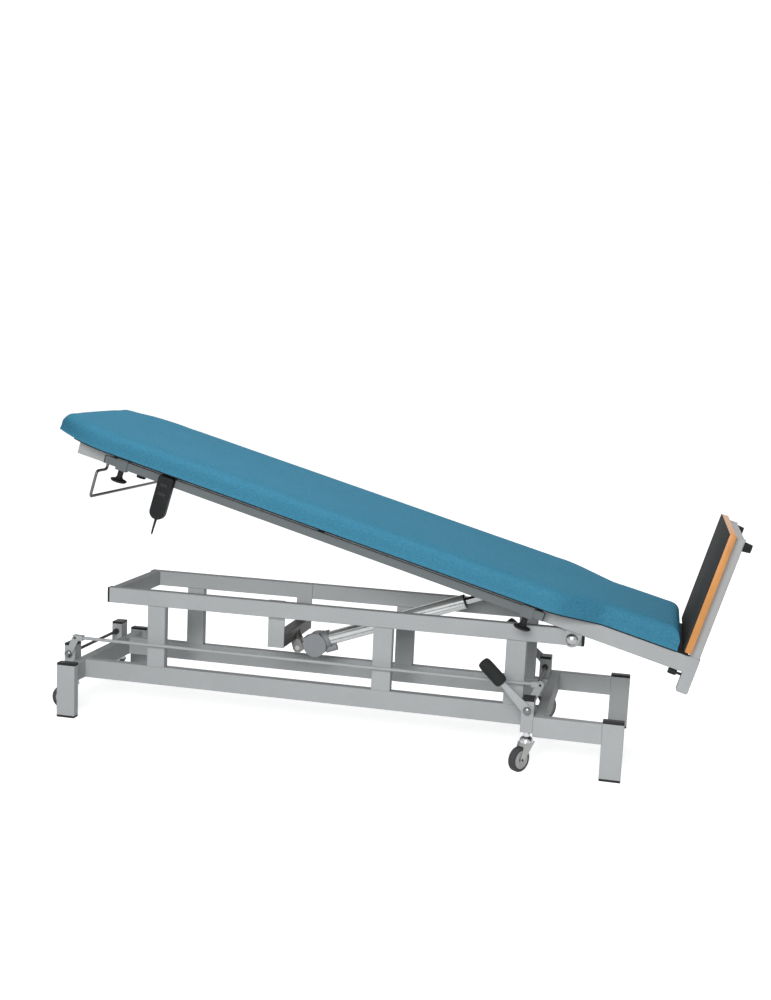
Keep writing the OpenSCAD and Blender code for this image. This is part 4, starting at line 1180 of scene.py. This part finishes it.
    def upholster(self, piece: Piece) -> None:
        """Inflate the cover a little and cap how far it moves; its underside is held.

        Args:
            piece: The blank.
        """
        rest = [v.co.copy() for v in piece.data.vertices]
        Bench.focus(piece)
        held = piece.vertex_groups.new(name="held")
        fixed = [v.index for v in piece.data.vertices if v.co.z < self.low + self.held_height]
        held.add(fixed, 1.0, "REPLACE")
        cloth = piece.modifiers.new("cloth", "CLOTH")
        settings = cloth.settings
        settings.use_pressure = True
        settings.uniform_pressure_force = self.pressure
        settings.effector_weights.gravity = 0.0
        settings.vertex_group_mass = "held"
        cloth.point_cache.frame_start = 1
        cloth.point_cache.frame_end = self.frames
        for frame in range(1, self.frames + 1):
            bpy.context.scene.frame_set(frame)
        Bench.focus(piece)
        bpy.ops.object.modifier_apply(modifier="cloth")
        bpy.context.scene.frame_set(1)
        for vertex, start in zip(piece.data.vertices, rest):
            move = vertex.co - start
            if move.length > self.swell:
                vertex.co = start + move * (self.swell / move.length)
        piece.vertex_groups.clear()

    def build(self) -> None:
        """Model the mattress and put it in place of its node."""
        piece = self.blank()
        self.upholster(piece)
        Bench.focus(piece)
        soft = piece.modifiers.new("subdivision", "SUBSURF")
        soft.levels = soft.render_levels = 1
        bpy.ops.object.modifier_apply(modifier="subdivision")
        Bench.settle(piece, "mattress_cover", top_frame(), SOFT_SMOOTH)
        self.crew.place(piece, "tabletop", Finish.VINYL, "upholstery_vinyl", ("mattress",))


@dataclass
class Tabletop:
    """The tilting top's frame, panel, rails and fittings."""

    crew: Crew

    def build(self) -> None:
        """Dress the top."""
        crew = self.crew
        crew.paint(Finish.FRAME, ("main_rails", "table_cross_tubes", "pivot_brackets",
                                  "footboard_sockets"))
        crew.paint(Finish.PANEL, ("top_panel",))
        crew.paint(Finish.RAIL, ("side_rails", "rail_clamps"))
        crew.paint(Finish.BLACK, ("side_rail_caps", "head_clamp_knob", "foot_clamp_knob",
                                  "control_box", "near_lock_knob", "far_lock_knob"))
        crew.paint(Finish.RUBBER, ("rest_pads",))
        crew.paint(Finish.BAR, ("paper_bar",))
        crew.paint(Finish.DOME, ("pivot_bolts",))


@dataclass
class Handset:
    """The hand control: casing, keys and its lead."""

    crew: Crew
    middle: float = -1.308
    top: float = 0.062
    height: float = 0.138
    width: float = 0.050
    depth: float = 0.024
    back_y: float = -0.2783
    rail_y: float = -0.268
    rail_top: float = 0.058
    hook: float = 0.0036
    hook_inset: float = 0.001
    hook_gap: float = 0.0003
    hook_root: float = 0.002
    hook_edge: float = 0.0008
    lip: float = 0.016
    cut_long: float = 0.006
    cut_short: float = 0.002
    rim: float = 0.0032
    relief: float = 0.030
    ribs: int = 6
    rib_pitch: float = 0.0045
    rib: float = 0.0008
    keys: tuple[float, ...] = (0.035, 0.007)
    key_half: float = 0.0075
    key_radius: float = 0.0055
    key_gap: float = 0.0002
    cutter_depth: float = 0.0082
    cutter_start: float = 0.004
    lead_radius: float = 0.0025
    steps: int = 3
    inner_y: float = -0.196
    hanging: tuple[Point, ...] = (
        (0, 0, 0), (0, 0, -0.008), (-0.0008, 0.002, -0.015), (-0.0033, 0.008, -0.020),
        (-0.0071, 0.017, -0.018), (-0.0104, 0.025, -0.010), (-0.0129, 0.031, 0.006),
        (-0.0145, 0.035, 0.030), (-0.0158, 0.038, 0.058))
    inward: tuple[Point, ...] = (
        (-1.326, 0.050, -0.014), (-1.328, 0.042, 0.004), (-1.328, 0.028, 0.010),
        (-1.328, 0.008, 0.011), (-1.325, -0.006, 0.018), (-1.315, -0.012, 0.030),
        (-1.290, -0.014, 0.035), (-1.210, -0.015, 0.035), (-1.100, -0.015, 0.035),
        (-0.980, -0.015, 0.035), (-0.860, -0.015, 0.035), (-0.760, -0.015, 0.035),
        (-0.690, -0.016, 0.036), (-0.662, -0.024, 0.040), (-0.650, -0.044, 0.046),
        (-0.646, -0.066, 0.049), (-0.641, -0.078, 0.050))

    def route(self) -> list[Vector]:
        """Return the lead's chosen points in the frame of the top.

        Returns:
            The points, from the strain relief to the control box.
        """
        start = Vector((self.middle, self.back_y - self.depth / 2,
                        self.top - self.height - self.relief - 0.0003))
        return [start + Vector(p) for p in self.hanging] + [
            Vector((u, self.inner_y - w, v)) for u, w, v in self.inward]

    def path(self) -> list[Vector]:
        """Return the lead's centreline in the row frame, a smooth curve through its points.

        Returns:
            The points of the centreline at rest.
        """
        p = self.route()
        frame = top_frame()
        line = []
        for i in range(len(p) - 1):
            a, b, c, d = (p[max(0, min(len(p) - 1, j))] for j in (i - 1, i, i + 1, i + 2))
            for k in range(self.steps):
                t = k / self.steps
                line.append(0.5 * (2 * b + (c - a) * t + (2 * a - 5 * b + 4 * c - d) * t * t
                                   + (3 * b - a - 3 * c + d) * t ** 3))
        return [frame @ q for q in (*line, p[-1])]

    def lead(self) -> None:
        """Model the lead as one curve that follows its route."""
        line = self.path()
        curve = bpy.data.curves.new("handset_lead_cable", "CURVE")
        curve.dimensions = "3D"
        curve.bevel_depth = self.lead_radius
        curve.bevel_resolution = 4
        curve.use_fill_caps = True
        spline = curve.splines.new("POLY")
        spline.points.add(len(line) - 1)
        for point, place in zip(spline.points, line):
            point.co = (*place, 1)
        piece = bpy.data.objects.new("handset_lead_cable", curve)
        bpy.context.scene.collection.objects.link(piece)
        self.crew.place(piece, "tabletop", Finish.BLACK, "black_plastic", ("handset_lead",))

    def key_outline(self, middle: float, grow: float) -> list[tuple[float, float]]:
        """Return an oval key's outline, grown by a margin.

        Args:
            middle: The place of the key's middle along the casing.
            grow: The margin.

        Returns:
            The outline, anticlockwise seen from -Y.
        """
        half, r = self.key_half, self.key_radius + grow
        right = [(self.middle + half + r * math.cos(a), middle + r * math.sin(a))
                 for a in (math.radians(-90 + 180 * i / 12) for i in range(13))]
        left = [(self.middle - half + r * math.cos(a), middle + r * math.sin(a))
                for a in (math.radians(90 + 180 * i / 12) for i in range(13))]
        return right + left

    def shell(self) -> Piece:
        """Model the shell: round below, with eased corners above and a rounded rim.

        Returns:
            The shell, in the frame of the top.
        """
        r, low, long, short = self.width / 2, self.top - self.height, self.cut_long, self.cut_short
        points = [(self.middle + r * math.cos(a), low + r + r * math.sin(a))
                  for a in (math.radians(180 + 180 * i / 24) for i in range(25))]
        points += [(self.middle + r, self.top - long), (self.middle + r - short, self.top - short),
                   (self.middle + r - long, self.top), (self.middle - r + long, self.top),
                   (self.middle - r + short, self.top - short), (self.middle - r, self.top - long)]
        shell = Bench.outline(points, self.depth, self.rim, 4)
        shell.location.y = self.back_y - self.depth
        return Bench.settle(shell, "handset_casing")

    def cut_pockets(self, shell: Piece) -> None:
        """Cut a pocket round each key.

        Args:
            shell: The shell, in the frame of the top.
        """
        for middle in self.keys:
            cutter = Bench.outline(self.key_outline(middle, self.key_gap), self.cutter_depth, 0.0)
            cutter.location.y = self.back_y - self.depth - self.cutter_start
            Bench.settle(cutter, "key_pocket", smooth=None)
            Bench.focus(shell)
            cut = shell.modifiers.new("pocket", "BOOLEAN")
            cut.operation = "DIFFERENCE"
            cut.solver = "EXACT"
            cut.object = cutter
            bpy.ops.object.modifier_apply(modifier="pocket")
            bpy.data.objects.remove(cutter)

    def hook_parts(self) -> tuple[Piece, Piece]:
        """Model the hook over the rail.

        Returns:
            The bridge over the rail and the lip behind it.
        """
        half = self.width / 2 - self.hook_inset
        inner = self.rail_y + self.hook_gap
        corner = (self.middle + half, inner + self.hook, self.top)
        bridge = Bench.block((self.middle - half, self.back_y - self.hook_root,
                              self.rail_top + self.hook_gap), corner, self.hook_edge, 2)
        lip = Bench.block((self.middle - half, inner, self.rail_top - self.lip), corner,
                          self.hook_edge, 2)
        return bridge, lip

    def strain_relief(self) -> Piece:
        """Model the tapered strain relief with its ribs.

        Returns:
            The relief, in the frame of the top.
        """
        tail = [(0.0, 0.004), (0.0046, 0.004), (0.0045, 0.0)]
        for i in range(self.ribs):
            width, down = 0.0044 - 0.00018 * i, self.rib_pitch * i
            tail += [(width, -0.0035 - down), (width - self.rib, -0.0045 - down),
                     (width - self.rib, -0.0062 - down)]
        tail += [(0.0030, -self.relief), (0.0, -self.relief)]
        centre = Vector((self.middle, self.back_y - self.depth / 2, self.top - self.height))
        return Bench.lathe(tail, Vector((0, 0, 1)), centre, 24)

    def casing(self) -> None:
        """Join the shell, its hook and its strain relief into one casing."""
        shell = self.shell()
        self.cut_pockets(shell)
        parts = (*self.hook_parts(), self.strain_relief(), shell)
        Bench.clear()
        for part in parts:
            part.select_set(True)
        bpy.context.view_layer.objects.active = shell
        bpy.ops.object.join()
        Bench.settle(shell, "handset_casing", top_frame())
        self.crew.place(shell, "tabletop", Finish.BLACK, "black_plastic", ("handset",))

    def build(self) -> None:
        """Model the handset and dress its nodes."""
        self.casing()
        self.crew.paint(Finish.KEY, ("button_up", "button_down"))
        self.lead()


@dataclass
class Footboard:
    """The wooden board with its mat, frame and bumpers."""

    crew: Crew
    face_u: float = 0.32665
    board: float = 0.020
    mat: float = 0.003
    low: float = 0.085
    high: float = 0.444
    half: float = 0.2575
    board_edge: float = 0.0018
    mat_inset: float = 0.0008
    mat_edge: float = 0.0008

    def build(self) -> None:
        """Model the board and mat with eased edges and dress the frame."""
        crew = self.crew
        crew.paint(Finish.FRAME, ("footboard_frame",))
        crew.paint(Finish.RUBBER, ("footboard_bumpers",))
        mat_back = self.face_u - self.board
        board = Bench.block((mat_back, -self.half, self.low),
                            (self.face_u, self.half, self.high), self.board_edge, 3)
        Bench.settle(board, "footboard_plywood", top_frame())
        crew.place(board, "footboard", Finish.BEECH, "beech_ply", ("footboard_board",))
        half = self.half - self.mat_inset
        mat = Bench.block((mat_back - self.mat, -half, self.low + self.mat_inset),
                          (mat_back, half, self.high - self.mat_inset), self.mat_edge, 2)
        Bench.settle(mat, "footboard_mat_sheet", top_frame())
        crew.place(mat, "footboard", Finish.MAT, "mat_rubber", ("footboard_mat",))


@dataclass
class Actuator:
    """The electric actuator between base and top."""

    crew: Crew
    tube_end: float = 0.573
    tube_radius: float = 0.0225
    rod_radius: float = 0.011

    def build(self) -> None:
        """Dress the actuator and add its wiper ring."""
        crew = self.crew
        crew.paint(Finish.CASTING, ("actuator_housing",))
        crew.paint(Finish.TUBE, ("actuator_tube",))
        crew.paint(Finish.CHROME, ("actuator_rod",))
        crew.paint(Finish.DOME, ("clevis_pin",))
        crew.paint(Finish.ZINC, ("actuator_spindle", "actuator_sleeve"))
        e, r, b = self.tube_end, self.tube_radius, self.rod_radius
        profile = [(b + 0.0002, e + 0.0001), (b + 0.0002, e + 0.003), (b + 0.003, e + 0.0036),
                   (r - 0.002, e + 0.0036), (r - 0.0002, e + 0.002), (r - 0.0002, e + 0.0001)]
        ring = Bench.lathe(profile + profile[:1], Vector((1, 0, 0)), Vector((0, 0, 0)), 56)
        Bench.settle(ring, "actuator_wiper", actuator_frame())
        crew.place(ring, "actuator_body", Finish.BLACK, "black_plastic")


def main() -> None:
    """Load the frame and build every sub-assembly."""
    logging.basicConfig(level=logging.INFO, format="%(name)s: %(message)s")
    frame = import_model()
    Studio().build()
    crew = Crew(frame["nodes"], Finishes())
    Handset(crew).build()
    BaseFrame(crew).build()
    CasterLift(crew).build()
    Tabletop(crew).build()
    Mattress(crew).build()
    Footboard(crew).build()
    Actuator(crew).build()


if __name__ == "__main__":
    main()
